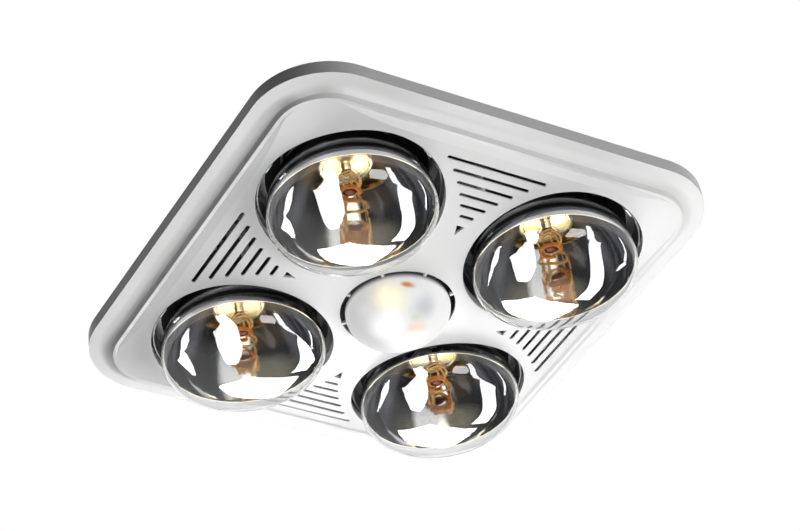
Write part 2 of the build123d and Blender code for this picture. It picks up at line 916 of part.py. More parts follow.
with BuildPart() as holder_brackets:
    for sx, sy in lamp_quarters:
        lamp_x = sx * lamp_offset
        lamp_y = sy * lamp_offset
        low_y = lamp_y - sy * bracket_overhang
        wall_y = sy * box_inner
        with BuildSketch(Plane.XY.offset(holder_top)):
            with Locations((lamp_x, (low_y + wall_y) / 2)):
                Rectangle(bracket_width, abs(wall_y - low_y))
            with Locations((lamp_x, lamp_y)):
                with PolarLocations(holder_screw_offset, 2):
                    Circle(m3_radius + fit_clearance, mode=Mode.SUBTRACT)
            with Locations((lamp_x, lamp_y + sy * bracket_tail_hole_offset)):
                Circle(bracket_tail_hole_radius, mode=Mode.SUBTRACT)
        extrude(amount=bracket_sheet)
        with BuildSketch(Plane.XY.offset(holder_top + bracket_sheet)):
            with Locations((lamp_x, wall_y - sy * bracket_sheet / 2)):
                Rectangle(bracket_width, bracket_sheet)
        extrude(amount=-bracket_tab)
        with BuildSketch(Plane.XZ.offset(-wall_y)):
            with Locations((lamp_x, rivet_z)):
                with GridLocations(bracket_width / 2, 0, 2, 1):
                    Circle(m4_radius + screw_clearance)
        extrude(amount=2 * bracket_sheet, both=True, mode=Mode.SUBTRACT)
for number, bracket in enumerate(holder_brackets.part.solids().group_by(Axis.Y), start=0):
    for side, piece in enumerate(bracket.sort_by(Axis.X)):
        keep(piece, f"holder_bracket_{2 * number + side + 1}")

for number, (lamp_x, lamp_y) in enumerate(lamp_places, start=1):
    keep(make_holder(lamp_x, lamp_y, heat_tip, 0), f"lampholder_{number}")
keep(make_holder(0, 0, globe_tip, 90), "centre_lampholder")

with BuildPart() as centre_bracket:
    bracket_half = centre_bracket_span / 2
    with BuildSketch(Plane.XZ):
        with BuildLine():
            outer_top = centre_holder_top + bracket_sheet
            foot_top = shield_top + bracket_sheet
            inner_half = bracket_half - bracket_sheet
            Polyline(
                (bracket_half + centre_foot, shield_top),
                (bracket_half + centre_foot, foot_top),
                (bracket_half, foot_top),
                (bracket_half, outer_top),
                (-bracket_half, outer_top),
                (-bracket_half, foot_top),
                (-bracket_half - centre_foot, foot_top),
                (-bracket_half - centre_foot, shield_top),
                (-inner_half, shield_top),
                (-inner_half, centre_holder_top),
                (inner_half, centre_holder_top),
                (inner_half, shield_top),
                close=True,
            )
        make_face()
    extrude(amount=centre_bracket_width / 2, both=True)
    with BuildSketch(Plane.XY.offset(centre_holder_top)):
        with PolarLocations(holder_screw_offset, 2, start_angle=90):
            Circle(m3_radius + fit_clearance)
        with Locations((-bracket_tail_hole_offset, 0)):
            Circle(bracket_tail_hole_radius)
    extrude(amount=bracket_sheet, mode=Mode.SUBTRACT)
    with BuildSketch(Plane.XY.offset(shield_top)):
        with GridLocations(centre_bracket_span + centre_foot, 0, 2, 1):
            Circle(m4_radius + screw_clearance)
    extrude(amount=bracket_sheet, mode=Mode.SUBTRACT)
keep(centre_bracket.part, "centre_bracket")


# Blower: a scroll of three quarter turns, each one step wider than the last

impeller_bottom = scroll_bottom + scroll_wall + impeller_bottom_gap
impeller_top = box_height - impeller_top_gap


def scroll_outline(wall):
    """The scroll's plan, grown outwards by wall, with its duct running to the box side."""
    right = blower_x + scroll_radius + wall
    left = blower_x - second_radius - wall
    top = second_y + third_radius + wall
    bottom = blower_y - scroll_radius - wall
    low = duct_low - wall
    tongue = tongue_radius - wall
    mouth = box_inner - screw_clearance
    slant = sin(radians(45))
    first = (scroll_radius + wall) * slant
    second = (second_radius + wall) * slant
    third = (third_radius + wall) * slant
    tip = tongue * (1 - slant)
    with BuildLine() as outline:
        ThreePointArc((right, blower_y), (blower_x + first, blower_y - first), (blower_x, bottom))
        ThreePointArc((blower_x, bottom), (blower_x - second, second_y - second), (left, second_y))
        ThreePointArc((left, second_y), (third_x - third, second_y + third), (third_x, top))
        Polyline((third_x, top), (mouth, top), (mouth, low), (right + tongue, low))
        ThreePointArc((right + tongue, low), (right + tip, low - tip), (right, low - tongue))
        Line((right, low - tongue), (right, blower_y))
    return outline.line


scroll_outside = scroll_outline(scroll_wall)
scroll_inside = scroll_outline(0)

with BuildPart() as blower_scroll:
    with BuildSketch(Plane.XY.offset(scroll_bottom)):
        with BuildLine():
            add(scroll_outside)
        make_face()
    extrude(amount=box_height - scroll_bottom)
    with BuildSketch(Plane.XY.offset(box_height - scroll_wall)):
        with Locations(*scroll_ears):
            Circle(ear_radius)
    extrude(amount=scroll_wall)
    with BuildSketch(Plane.XY.offset(scroll_bottom + scroll_wall)):
        with BuildLine():
            add(scroll_inside)
        make_face()
        with Locations((box_inner, (duct_low + duct_high) / 2)):
            Rectangle(overrun, duct_high - duct_low)
    extrude(amount=box_height - scroll_bottom, mode=Mode.SUBTRACT)
    with BuildSketch(Plane.XY.offset(scroll_bottom)):
        with Locations((blower_x, blower_y)):
            Circle(inlet_radius)
    extrude(amount=scroll_wall, mode=Mode.SUBTRACT)
    with BuildSketch(Plane.XY.offset(scroll_bottom)):
        with Locations((blower_x, blower_y)):
            Circle(inlet_radius)
            Circle(inlet_radius - scroll_wall / 2, mode=Mode.SUBTRACT)
    extrude(amount=inlet_lip)
    with BuildSketch(Plane.XY.offset(box_height)):
        with Locations(*scroll_ears):
            Circle(m4_radius + screw_clearance)
    extrude(amount=-2 * scroll_wall, mode=Mode.SUBTRACT)
keep(blower_scroll.part, "blower_scroll")

with BuildSketch(mode=Mode.PRIVATE) as blade:
    with BuildLine():
        blade_root = (impeller_eye_radius + blade_root_sink, 0)
        blade_tip = (impeller_radius - blade_root_sink, blade_sweep)
        blade_middle = ((impeller_radius + impeller_eye_radius) / 2, blade_sweep / 2 - blade_bow)
        back_root = (blade_root[0], blade_sheet)
        back_tip = (blade_tip[0], blade_sweep + blade_sheet)
        back_middle = (blade_middle[0], blade_middle[1] + blade_sheet)
        ThreePointArc(blade_root, blade_middle, blade_tip)
        Line(blade_tip, back_tip)
        ThreePointArc(back_tip, back_middle, back_root)
        Line(back_root, blade_root)
    make_face()

with BuildPart() as impeller:
    with BuildSketch(Plane.XY.offset(impeller_bottom)):
        with Locations((blower_x, blower_y)):
            Circle(impeller_radius)
            Circle(impeller_eye_radius, mode=Mode.SUBTRACT)
    extrude(amount=impeller_ring)
    with BuildSketch(Plane.XY.offset(impeller_top - impeller_ring)):
        with Locations((blower_x, blower_y)):
            Circle(impeller_radius)
    extrude(amount=impeller_ring)
    with BuildSketch(Plane.XY.offset(impeller_bottom)):
        with Locations((blower_x, blower_y)):
            with PolarLocations(0, blade_count):
                add(blade.sketch)
    extrude(amount=impeller_top - impeller_bottom)
    with BuildSketch(Plane.XY.offset(impeller_top)):
        with Locations((blower_x, blower_y)):
            Circle(hub_radius)
    extrude(amount=-hub_height)
    with BuildSketch(Plane.XY.offset(impeller_top)):
        with Locations((blower_x, blower_y)):
            Circle(shaft_radius)
    extrude(amount=-hub_height, mode=Mode.SUBTRACT)
keep(impeller.part, "impeller")


# Motor: a can on the top plate with a bush at each end

motor_top = plate_top + motor_height
motor_inner = motor_radius - motor_wall
stator_low = plate_top + stator_rise
stator_high = stator_low + stator_height
end_cap_top = motor_top + motor_wall
upper_bush = end_cap_top - motor_boss_height

with BuildPart() as motor_case:
    with BuildSketch(Plane.XY.offset(plate_top)):
        with Locations((blower_x, blower_y)):
            Circle(motor_radius)
    extrude(amount=motor_height)
    with BuildSketch(Plane.XY.offset(plate_top + motor_wall)):
        with Locations((blower_x, blower_y)):
            Circle(motor_inner)
    extrude(amount=motor_height, mode=Mode.SUBTRACT)
    with BuildSketch(Plane.XY.offset(plate_top)):
        with Locations((blower_x, blower_y)):
            with PolarLocations(motor_ear_reach, motor_ear_count):
                Circle(motor_ear_radius)
            with PolarLocations(motor_ear_reach - motor_ear_radius, motor_ear_count):
                Rectangle(2 * motor_ear_radius, 2 * motor_ear_radius)
    extrude(amount=motor_wall)
    with BuildSketch(Plane.XY.offset(box_height)):
        with Locations((blower_x, blower_y)):
            Circle(motor_boss_radius)
    extrude(amount=motor_boss_height)
    with BuildSketch(Plane.XY.offset(box_height)):
        with Locations((blower_x, blower_y)):
            Circle(bearing_radius)
            with PolarLocations(motor_ear_reach, motor_ear_count):
                Circle(m4_radius + screw_clearance)
    extrude(amount=motor_boss_height, mode=Mode.SUBTRACT)
keep(motor_case.part, "motor_case")

with BuildPart() as motor_end_cap:
    with BuildSketch(Plane.XY.offset(motor_top)):
        with Locations((blower_x, blower_y)):
            Circle(motor_radius)
            with PolarLocations((winding_radius + motor_boss_radius) / 2, vent_count):
                SlotOverall(vent_length, vent_width, rotation=90, mode=Mode.SUBTRACT)
    extrude(amount=motor_wall)
    with BuildSketch(Plane.XY.offset(upper_bush)):
        with Locations((blower_x, blower_y)):
            Circle(motor_boss_radius)
    extrude(amount=motor_boss_height)
    with BuildSketch(Plane.XY.offset(motor_top)):
        with Locations((blower_x, blower_y)):
            Circle(motor_inner)
            Circle(motor_inner - motor_wall, mode=Mode.SUBTRACT)
    extrude(amount=-end_cap_spigot)
    with BuildSketch(Plane.XY.offset(upper_bush)):
        with Locations((blower_x, blower_y)):
            Circle(bearing_radius)
    extrude(amount=motor_boss_height, mode=Mode.SUBTRACT)
keep(motor_end_cap.part, "motor_end_cap")

stator_mouth_length = 2 * (winding_inner_radius - stator_inner_radius)
with BuildPart() as motor_stator:
    with BuildSketch(Plane.XY.offset(stator_low)):
        with Locations((blower_x, blower_y)):
            Circle(motor_inner)
            Circle(stator_inner_radius, mode=Mode.SUBTRACT)
            with PolarLocations((winding_inner_radius + winding_slot_radius) / 2, stator_slot_count):
                slot_depth = winding_slot_radius - winding_inner_radius
                Rectangle(slot_depth, stator_slot_width, mode=Mode.SUBTRACT)
            with PolarLocations(stator_inner_radius, stator_slot_count):
                Rectangle(stator_mouth_length, stator_slot_mouth, mode=Mode.SUBTRACT)
    extrude(amount=stator_height)
keep(motor_stator.part, "motor_stator")

with BuildPart() as motor_windings:
    for low in (stator_low - winding_height, stator_high):
        with BuildSketch(Plane.XY.offset(low)):
            with Locations((blower_x, blower_y)):
                Circle(winding_radius)
                Circle(winding_inner_radius, mode=Mode.SUBTRACT)
        extrude(amount=winding_height)
    chamfer(motor_windings.edges().filter_by(GeomType.CIRCLE), winding_edge)
    with BuildSketch(Plane.XY.offset(stator_low - winding_edge)):
        with Locations((blower_x, blower_y)):
            with PolarLocations((winding_inner_radius + winding_slot_radius) / 2, stator_slot_count):
                Rectangle(slot_depth - 2 * winding_edge, stator_slot_width - winding_edge)
    extrude(amount=stator_height + 2 * winding_edge)
keep(motor_windings.part, "motor_windings")

with BuildPart() as motor_rotor:
    with BuildSketch(Plane.XY.offset(stator_low)):
        with Locations((blower_x, blower_y)):
            Circle(rotor_radius)
            Circle(shaft_radius, mode=Mode.SUBTRACT)
    extrude(amount=stator_height)
keep(motor_rotor.part, "motor_rotor")

with BuildPart() as motor_shaft:
    shaft_low = impeller_top - hub_height - shaft_bottom_gap
    with BuildSketch(Plane.XY.offset(shaft_low)):
        with Locations((blower_x, blower_y)):
            Circle(shaft_radius)
    extrude(amount=end_cap_top + shaft_top_reach - shaft_low)
keep(motor_shaft.part, "motor_shaft")

with BuildPart() as motor_bearings:
    for low in (box_height, upper_bush):
        with BuildSketch(Plane.XY.offset(low)):
            with Locations((blower_x, blower_y)):
                Circle(bearing_radius)
                Circle(shaft_radius + fit_clearance, mode=Mode.SUBTRACT)
        extrude(amount=motor_boss_height)
keep(motor_bearings.part, "motor_bearings")


# Duct spigot with the flap that falls shut against its stop

flap_z = spigot_z + flap_rise
flap_back = flap_x + flap_knuckle_radius - flap_sheet
spigot_inner = spigot_radius - spigot_wall

with BuildPart() as duct_spigot:
    with BuildSketch(spigot_plane):
        RectangleRounded(spigot_plate_width, spigot_plate_height, spigot_plate_corner)
        with GridLocations(2 * spigot_screw_x, 2 * spigot_screw_z, 2, 2):
            Circle(m4_radius + screw_clearance, mode=Mode.SUBTRACT)
    extrude(amount=spigot_wall)
    with BuildSketch(spigot_plane):
        Circle(spigot_radius)
    extrude(amount=spigot_length)
    with BuildSketch(spigot_plane):
        Circle(spigot_inner)
    extrude(amount=spigot_length, mode=Mode.SUBTRACT)
    with BuildSketch(spigot_plane.offset(flap_back - cover_gap - stop_width - box_half)):
        Circle(spigot_inner)
        Circle(spigot_inner - stop_depth, mode=Mode.SUBTRACT)
        with Locations((0, -stop_drop / 2)):
            lower_half = (Align.CENTER, Align.MAX)
            Rectangle(spigot_plate_width, spigot_plate_height, align=lower_half, mode=Mode.INTERSECT)
    extrude(amount=stop_width)
    with BuildSketch(Plane.XZ.offset(-spigot_y)):
        with Locations((flap_x, flap_z)):
            Circle(flap_pin_radius + fit_clearance)
    extrude(amount=spigot_plate_width, both=True, mode=Mode.SUBTRACT)
keep(duct_spigot.part, "duct_spigot")

with BuildPart() as damper_flap:
    with BuildSketch(spigot_plane.offset(flap_back - box_half)):
        Circle(spigot_inner - flap_gap)
    extrude(amount=flap_sheet)
    for side in (-1, 1):
        with BuildSketch(Plane.XZ.offset(-spigot_y - side * flap_knuckle_offset)):
            with Locations((flap_x, flap_z)):
                Circle(flap_knuckle_radius)
        extrude(amount=flap_knuckle_length / 2, both=True)
    with BuildSketch(Plane.XZ.offset(-spigot_y)):
        with Locations((flap_x, flap_z)):
            Circle(flap_pin_radius)
    extrude(amount=spigot_inner, both=True, mode=Mode.SUBTRACT)
keep(damper_flap.part, "damper_flap")

with BuildPart() as damper_pin:
    with BuildSketch(Plane.XZ.offset(-spigot_y)):
        with Locations((flap_x, flap_z)):
            Circle(flap_pin_radius)
    extrude(amount=spigot_radius - flap_pin_inset, both=True)
keep(damper_pin.part, "damper_pin")


# Terminal box on the top plate, its hinged cover, block and gland

tbox_top = plate_top + tbox_height
tbox_back = tbox_y - tbox_width / 2
tbox_hollow_length = tbox_length - 2 * tbox_wall
tbox_hollow_width = tbox_width - 2 * tbox_wall
tbox_end = tbox_x + tbox_length / 2
hinge_y = tbox_back - hinge_set_back
gland_z = plate_top + gland_rise
gland_plane = Plane(origin=(tbox_end, tbox_y, gland_z), x_dir=(0, 1, 0), z_dir=(1, 0, 0))
lead_z = plate_top + lead_rise
lead_y = tbox_y + block_offset_y
lead_bend = lead_bend_share * (blower_y - motor_radius - lead_y)
block_place = (tbox_x + block_offset_x, tbox_y + block_offset_y)

with BuildPart() as terminal_box:
    with BuildSketch(Plane.XY.offset(plate_top)):
        with Locations((tbox_x, tbox_y)):
            RectangleRounded(tbox_length, tbox_width, tbox_corner)
    extrude(amount=tbox_height)
    with BuildSketch(Plane.XY.offset(plate_top + tbox_wall)):
        with Locations((tbox_x, tbox_y)):
            RectangleRounded(tbox_hollow_length, tbox_hollow_width, tbox_corner - tbox_wall)
    extrude(amount=tbox_height, mode=Mode.SUBTRACT)
    for side in (-1, 1):
        with BuildSketch(Plane.YZ.offset(tbox_x + side * hinge_ear_offset)):
            with Locations((hinge_y, tbox_top)):
                Circle(hinge_radius)
            Polygon(
                (tbox_back, tbox_top - ear_foot_drop),
                (tbox_back, tbox_top),
                (hinge_y, tbox_top),
                (hinge_y - hinge_radius, tbox_top),
                align=None,
            )
            with Locations((hinge_y, tbox_top)):
                Circle(hinge_pin_radius + fit_clearance, mode=Mode.SUBTRACT)
        extrude(amount=hinge_ear_width / 2, both=True)
    with BuildSketch(Plane.XY.offset(plate_top)):
        with Locations((loom_entry_x, -loom_row)):
            Circle(loom_hole_radius)
        with Locations(*tbox_screws):
            Circle(m3_radius + screw_clearance)
    extrude(amount=tbox_wall, mode=Mode.SUBTRACT)
    with BuildSketch(gland_plane.offset(-tbox_wall)):
        Circle(gland_thread_radius)
    extrude(amount=tbox_wall, mode=Mode.SUBTRACT)
    with BuildSketch(Plane.YZ.offset(tbox_x - tbox_length / 2)):
        with Locations((lead_y, lead_z)):
            Circle(lead_radius + screw_clearance)
    extrude(amount=tbox_wall, mode=Mode.SUBTRACT)
keep(terminal_box.part, "terminal_box")

with BuildPart() as terminal_cover:
    with BuildSketch(Plane.XY.offset(tbox_top + cover_gap)):
        with Locations((tbox_x, tbox_y)):
            RectangleRounded(tbox_length, tbox_width, tbox_corner)
        for side in (-1, 1):
            with Locations((tbox_x + side * hinge_ear_offset, tbox_back)):
                Rectangle(hinge_ear_width + 2 * cover_notch, 2 * cover_notch, mode=Mode.SUBTRACT)
            knuckle_x = hinge_ear_offset - hinge_ear_width / 2 - cover_gap - hinge_knuckle_width / 2
            with Locations((tbox_x + side * knuckle_x, (hinge_y + tbox_back) / 2 + cover_notch / 2)):
                Rectangle(hinge_knuckle_width, hinge_set_back + cover_notch)
    extrude(amount=cover_sheet)
    for side in (-1, 1):
        with BuildSketch(Plane.YZ.offset(tbox_x + side * knuckle_x)):
            with Locations((hinge_y, tbox_top)):
                Circle(hinge_radius - cover_gap)
        extrude(amount=hinge_knuckle_width / 2, both=True)
        with BuildSketch(Plane.YZ.offset(tbox_x + side * knuckle_x)):
            with Locations((hinge_y, tbox_top)):
                Circle(hinge_pin_radius)
        extrude(amount=side * (hinge_ear_offset + hinge_ear_width / 2 - knuckle_x))
    with BuildSketch(Plane.XY.offset(tbox_top + cover_gap + cover_sheet)):
        with Locations((tbox_x, tbox_y + tbox_width / 2)):
            Rectangle(latch_width, 2 * (cover_gap + latch_sheet))
            Rectangle(latch_width, 2 * cover_gap, mode=Mode.SUBTRACT)
        with Locations((tbox_x, tbox_y)):
            RectangleRounded(tbox_length, tbox_width, tbox_corner, mode=Mode.SUBTRACT)
    extrude(amount=-cover_sheet - latch_height)
    with BuildSketch(Plane.XY.offset(tbox_top + cover_gap)):
        with Locations((tbox_x, tbox_y + tbox_width / 2)):
            Rectangle(latch_width, 2 * cover_gap)
    extrude(amount=cover_sheet)
keep(terminal_cover.part, "terminal_cover")

with BuildPart() as terminal_block:
    with BuildSketch(Plane.XY.offset(plate_top + tbox_wall)):
        with Locations(block_place):
            Rectangle(block_length, block_width)
    extrude(amount=block_height)
    with BuildSketch(Plane.XY.offset(plate_top + tbox_wall + block_height)):
        with Locations(block_place):
            with GridLocations(block_well_pitch, block_width / 2, block_well_count, 2):
                Circle(block_well_radius)
    extrude(amount=-block_well_depth, mode=Mode.SUBTRACT)
keep(terminal_block.part, "terminal_block")

with BuildPart() as cable_gland:
    with BuildSketch(gland_plane.offset(-tbox_wall - gland_hex)):
        RegularPolygon(gland_hex_radius, 6)
    extrude(amount=gland_hex)
    with BuildSketch(gland_plane.offset(-tbox_wall)):
        Circle(gland_thread_radius)
    extrude(amount=tbox_wall)
    with BuildSketch(gland_plane):
        RegularPolygon(gland_hex_radius, 6)
    extrude(amount=gland_hex)
    with BuildSketch(gland_plane.offset(gland_hex)):
        Circle(gland_radius)
    extrude(amount=gland_dome)
    fillet(cable_gland.faces().sort_by(Axis.X)[-1].edges(), gland_round)
    with BuildSketch(gland_plane.offset(-tbox_wall - gland_hex)):
        Circle(gland_bore_radius)
    extrude(amount=tbox_wall + 2 * gland_hex + gland_dome, mode=Mode.SUBTRACT)
keep(cable_gland.part, "cable_gland")


# Capacitor and thermal cut-out

with BuildPart() as run_capacitor:
    with BuildSketch(Plane.XY.offset(plate_top)):
        with Locations((capacitor_x, capacitor_y)):
            RectangleRounded(capacitor_length, capacitor_width, capacitor_edge)
    extrude(amount=capacitor_height)
    with BuildSketch(Plane.XY.offset(plate_top)):
        with Locations(capacitor_screw):
            Circle(capacitor_tab / 2)
            with Locations((capacitor_tab / 4, 0)):
                Rectangle(capacitor_tab / 2, capacitor_tab)
            Circle(m4_radius + screw_clearance, mode=Mode.SUBTRACT)
    extrude(amount=motor_wall)
    with BuildSketch(Plane.XY.offset(plate_top + capacitor_height)):
        with Locations((capacitor_x, capacitor_y)):
            with GridLocations(capacitor_length / 3, cutout_tab_spread, 2, 2):
                Rectangle(cutout_tab_width, cutout_tab_sheet)
    extrude(amount=cutout_tab_height)
keep(run_capacitor.part, "run_capacitor")

with BuildPart() as thermal_cutout:
    with BuildSketch(Plane.XY.offset(shield_top)):
        with Locations((0, cutout_y)):
            Circle(cutout_radius)
    extrude(amount=cutout_height)
    with BuildSketch(Plane.XY.offset(shield_top + cutout_height)):
        with Locations((0, cutout_y)):
            with GridLocations(2 * cutout_tab_spread, 0, 2, 1):
                Rectangle(cutout_tab_sheet, cutout_tab_width)
    extrude(amount=cutout_tab_height)
keep(thermal_cutout.part, "thermal_cutout")


# Wiring

def make_wire(points, bend, radius):
    """A round wire along straight runs joined by bends."""
    with BuildPart() as wire:
        with BuildLine() as path:
            FilletPolyline(*points, radius=bend)
        with BuildSketch(Plane(origin=path.line @ 0, z_dir=path.line % 0)):
            Circle(radius)
        sweep(path=path.line)
    return wire.part


loom_turn_x = loom_entry_x - 2 * loom_entry_bend
loom_pieces = [
    make_wire(
        [
            (loom_entry_x, -loom_row, plate_top + tbox_wall + loom_inside),
            (loom_entry_x, -loom_row, loom_z),
            (loom_turn_x, -loom_row, loom_z),
        ],
        loom_entry_bend,
        loom_radius,
    ),
    make_wire(
        [
            (loom_turn_x, -loom_row, loom_z),
            (-loom_row, -loom_row, loom_z),
            (-loom_row, loom_row, loom_z),
            (loom_end_x, loom_row, loom_z),
        ],
        loom_bend,
        loom_radius,
    ),
    make_wire(
        [
            (-loom_row, 0, loom_z),
            (-centre_tail_x, 0, loom_z),
            (-centre_tail_x, 0, centre_tail_z),
            (-bracket_tail_hole_offset, 0, centre_tail_z),
            (-bracket_tail_hole_offset, 0, centre_holder_top),
        ],
        tail_bend,
        tail_radius,
    ),
]
for sx, sy in lamp_quarters:
    tail_x = sx * lamp_offset
    tail_y = sy * (lamp_offset + bracket_tail_hole_offset)
    loom_pieces.append(
        make_wire(
            [(tail_x, sy * loom_row, loom_z), (tail_x, tail_y, loom_z), (tail_x, tail_y, holder_top)],
            tail_bend,
            tail_radius,
        )
    )

with BuildPart() as lamp_loom:
    for wire_piece in loom_pieces:
        add(wire_piece)
keep(lamp_loom.part, "lamp_loom")

clip_places = [
    Plane(origin=(side * loom_clip_offset, row * loom_row, loom_z), x_dir=(0, 1, 0), z_dir=(1, 0, 0))
    for side in (-1, 1)
    for row in (-1, 1)
]
clip_places += [
    Plane(origin=(-loom_row, side * loom_clip_offset, loom_z), x_dir=(1, 0, 0), z_dir=(0, -1, 0))
    for side in (-1, 1)
]
with BuildPart() as loom_clips:
    for clip_place in clip_places:
        with BuildSketch(clip_place):
            Circle(loom_radius + screw_clearance + loom_clip_wall)
            Rectangle(2 * loom_clip_wall, box_height - loom_z, align=(Align.CENTER, Align.MIN))
            Circle(loom_radius + screw_clearance, mode=Mode.SUBTRACT)
        extrude(amount=loom_clip_width / 2, both=True)
keep(loom_clips.part, "loom_clips")

lead_points = [
    (blower_x, blower_y - motor_radius, lead_z),
    (blower_x, lead_y, lead_z),
    (tbox_x - tbox_length / 2 + lead_inside, lead_y, lead_z),
]
keep(make_wire(lead_points, lead_bend, lead_radius), "motor_lead")


# Fasteners

def make_screw(radius, head_radius, head, length):
    """A screw whose head sits on the plane and whose shank runs down from it."""
    with BuildPart() as screw:
        with BuildSketch(Plane.XY):
            Circle(head_radius)
        extrude(amount=head)
        chamfer(screw.edges().group_by(Axis.Z)[-1], head / 4)
        with BuildSketch(Plane.XY):
            Circle(radius)
        extrude(amount=-length)
        with BuildSketch(Plane.XY.offset(head)):
            Rectangle(head_radius, screw_slot)
            Rectangle(screw_slot, head_radius)
        extrude(amount=-head / 2, mode=Mode.SUBTRACT)
    return screw.part


m4_screw = make_screw(m4_radius, m4_head_radius, m4_head, screw_length)
m4_short = make_screw(m4_radius, m4_head_radius, m4_head, motor_screw_length)
m4_stub = make_screw(m4_radius, m4_head_radius, m4_head, shield_sheet + sheet)
m3_screw = make_screw(m3_radius, m3_head_radius, m3_head, screw_length)

centre_screw_x = (centre_bracket_span + centre_foot) / 2
with BuildPart() as screws:
    with Locations(*[(x, y, plate_top) for x, y in box_fixings + scroll_ears]):
        add(m4_screw)
    with Locations((*capacitor_screw, plate_top + motor_wall)):
        add(m4_screw)
    with Locations(
        *[(side * centre_screw_x, 0, shield_top + bracket_sheet) for side in (-1, 1)]
    ):
        add(m4_screw)
    with Locations(spigot_plane.offset(spigot_wall)):
        with GridLocations(2 * spigot_screw_x, 2 * spigot_screw_z, 2, 2):
            add(m4_screw)
    with Locations((blower_x, blower_y, plate_top + motor_wall)):
        with PolarLocations(motor_ear_reach, motor_ear_count):
            add(m4_short)
    with Locations(Location((0, 0, shield_bottom), (180, 0, 0))):
        with GridLocations(2 * corner_screw_row, 2 * corner_screw_row, 2, 2):
            add(m4_stub)
    for lamp_x, lamp_y in lamp_places:
        with Locations((lamp_x, lamp_y, holder_top + bracket_sheet)):
            with PolarLocations(holder_screw_offset, 2):
                add(m3_screw)
    with Locations((0, 0, centre_holder_top + bracket_sheet)):
        with PolarLocations(holder_screw_offset, 2, start_angle=90):
            add(m3_screw)
    with Locations(*[(x, y, plate_top + tbox_wall) for x, y in tbox_screws]):
        add(m3_screw)
keep(screws.part, "screws")

with BuildPart() as rivets:
    for side in (-1, 1):
        head_plane = Plane.XZ.offset(-side * (box_inner - bracket_sheet - rivet_head))
        with BuildSketch(head_plane):
            with Locations(*rivet_places):
                Circle(m4_head_radius)
        extrude(amount=-side * rivet_head)
        with BuildSketch(head_plane):
            with Locations(*rivet_places):
                Circle(m4_radius)
        extrude(amount=-side * (2 * rivet_head + bracket_sheet + sheet))
        with BuildSketch(Plane.XZ.offset(-side * box_half)):
            with Locations(*rivet_places):
                Circle(m4_head_radius)
        extrude(amount=-side * rivet_head)
keep(rivets.part, "rivets")
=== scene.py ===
# %% [markdown]
# # A bathroom ceiling heater
# The heater is a white domed facia under a ceiling, with four clear reflector heat lamps, a pearl lamp in
# the middle, and a steel box above with a blower in it. Its solid parts come from the imported CAD model.
# They could be modelled again here, but then looks and construction would drift apart, so every part is
# carried over as it is and gets its finish, and only the heat lamps' filaments are hidden and built again
# here.

import bmesh
import bpy
import numpy as np
from mathutils import Matrix


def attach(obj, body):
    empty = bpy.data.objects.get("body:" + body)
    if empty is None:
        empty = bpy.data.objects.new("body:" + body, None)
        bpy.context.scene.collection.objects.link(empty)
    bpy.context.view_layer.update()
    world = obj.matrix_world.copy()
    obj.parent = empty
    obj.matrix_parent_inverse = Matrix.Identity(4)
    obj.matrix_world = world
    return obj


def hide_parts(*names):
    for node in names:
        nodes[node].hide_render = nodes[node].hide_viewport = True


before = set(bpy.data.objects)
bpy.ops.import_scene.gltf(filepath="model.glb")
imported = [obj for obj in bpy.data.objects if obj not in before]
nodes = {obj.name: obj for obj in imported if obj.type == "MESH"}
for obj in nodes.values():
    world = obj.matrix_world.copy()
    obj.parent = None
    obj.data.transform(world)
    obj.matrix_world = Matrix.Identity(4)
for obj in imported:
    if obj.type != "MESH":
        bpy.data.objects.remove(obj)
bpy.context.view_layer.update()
scene = bpy.context.scene
MM = 0.001

# %% [markdown]
# ## The camera
# The view is from below and to one side, with a long lens, which keeps the far edge of the facia
# nearly as wide as the near one. A camera could be aimed by eye, but three measured directions
# give the same picture each time: where its right side, its lower side and its axis point.

# %% Place the camera
camera_place = np.array([-925.337, -1329.894, -1339.186]) * MM
camera_right = np.array([0.8650636, -0.48757258, -0.11805905])
camera_down = np.array([0.23693233, 0.60452447, -0.76053483])
camera_ahead = np.array([0.44218552, 0.629939, 0.63847383])

camera_data = bpy.data.cameras.new("view_from_below")
camera_data.sensor_width = 36.0
camera_data.lens = 124.35
camera_data.clip_start = 0.05
camera_data.clip_end = 60.0
camera = bpy.data.objects.new("view_from_below", camera_data)
turned = np.eye(4)
turned[:3, 0], turned[:3, 1], turned[:3, 2] = camera_right, -camera_down, -camera_ahead
turned[:3, 3] = camera_place
camera.matrix_world = Matrix(turned.tolist())
scene.collection.objects.link(camera)
scene.camera = camera
scene.view_settings.view_transform = "Standard"
print("camera", round(float(np.linalg.norm(camera_place)), 3), "m from the middle of the facia")

# %% [markdown]
# ## Surfaces from numbers
# Glass, wires and studio cards are all surfaces over two parameters. Their points could be added one
# at a time, but a grid of points worked out as one array and handed to the mesh in one go is quicker
# and more exact. Several grids can share a mesh, as the wires of one filament do.

# %% Grids of points become a mesh
def grid_quads(rows, columns, round_ring):
    """The quads of a grid: point (i, j) joins (i, j+1), (i+1, j+1) and (i+1, j).

    The last column joins the first where the ring is round.
    """
    i = np.arange(rows - 1)[:, None]
    j = np.arange(columns if round_ring else columns - 1)[None, :]
    next_j = (j + 1) % columns
    corners = [i * columns + j, i * columns + next_j, (i + 1) * columns + next_j, (i + 1) * columns + j]
    return np.stack(np.broadcast_arrays(*corners), -1).reshape(-1, 4)


def about_axis(place, reach, angle, height):
    """Points about an upright axis: x and y are the place plus reach times cosine and sine."""
    x = place[0] + reach * np.cos(angle)
    y = place[1] + reach * np.sin(angle)
    return np.stack(np.broadcast_arrays(x, y, height), -1)


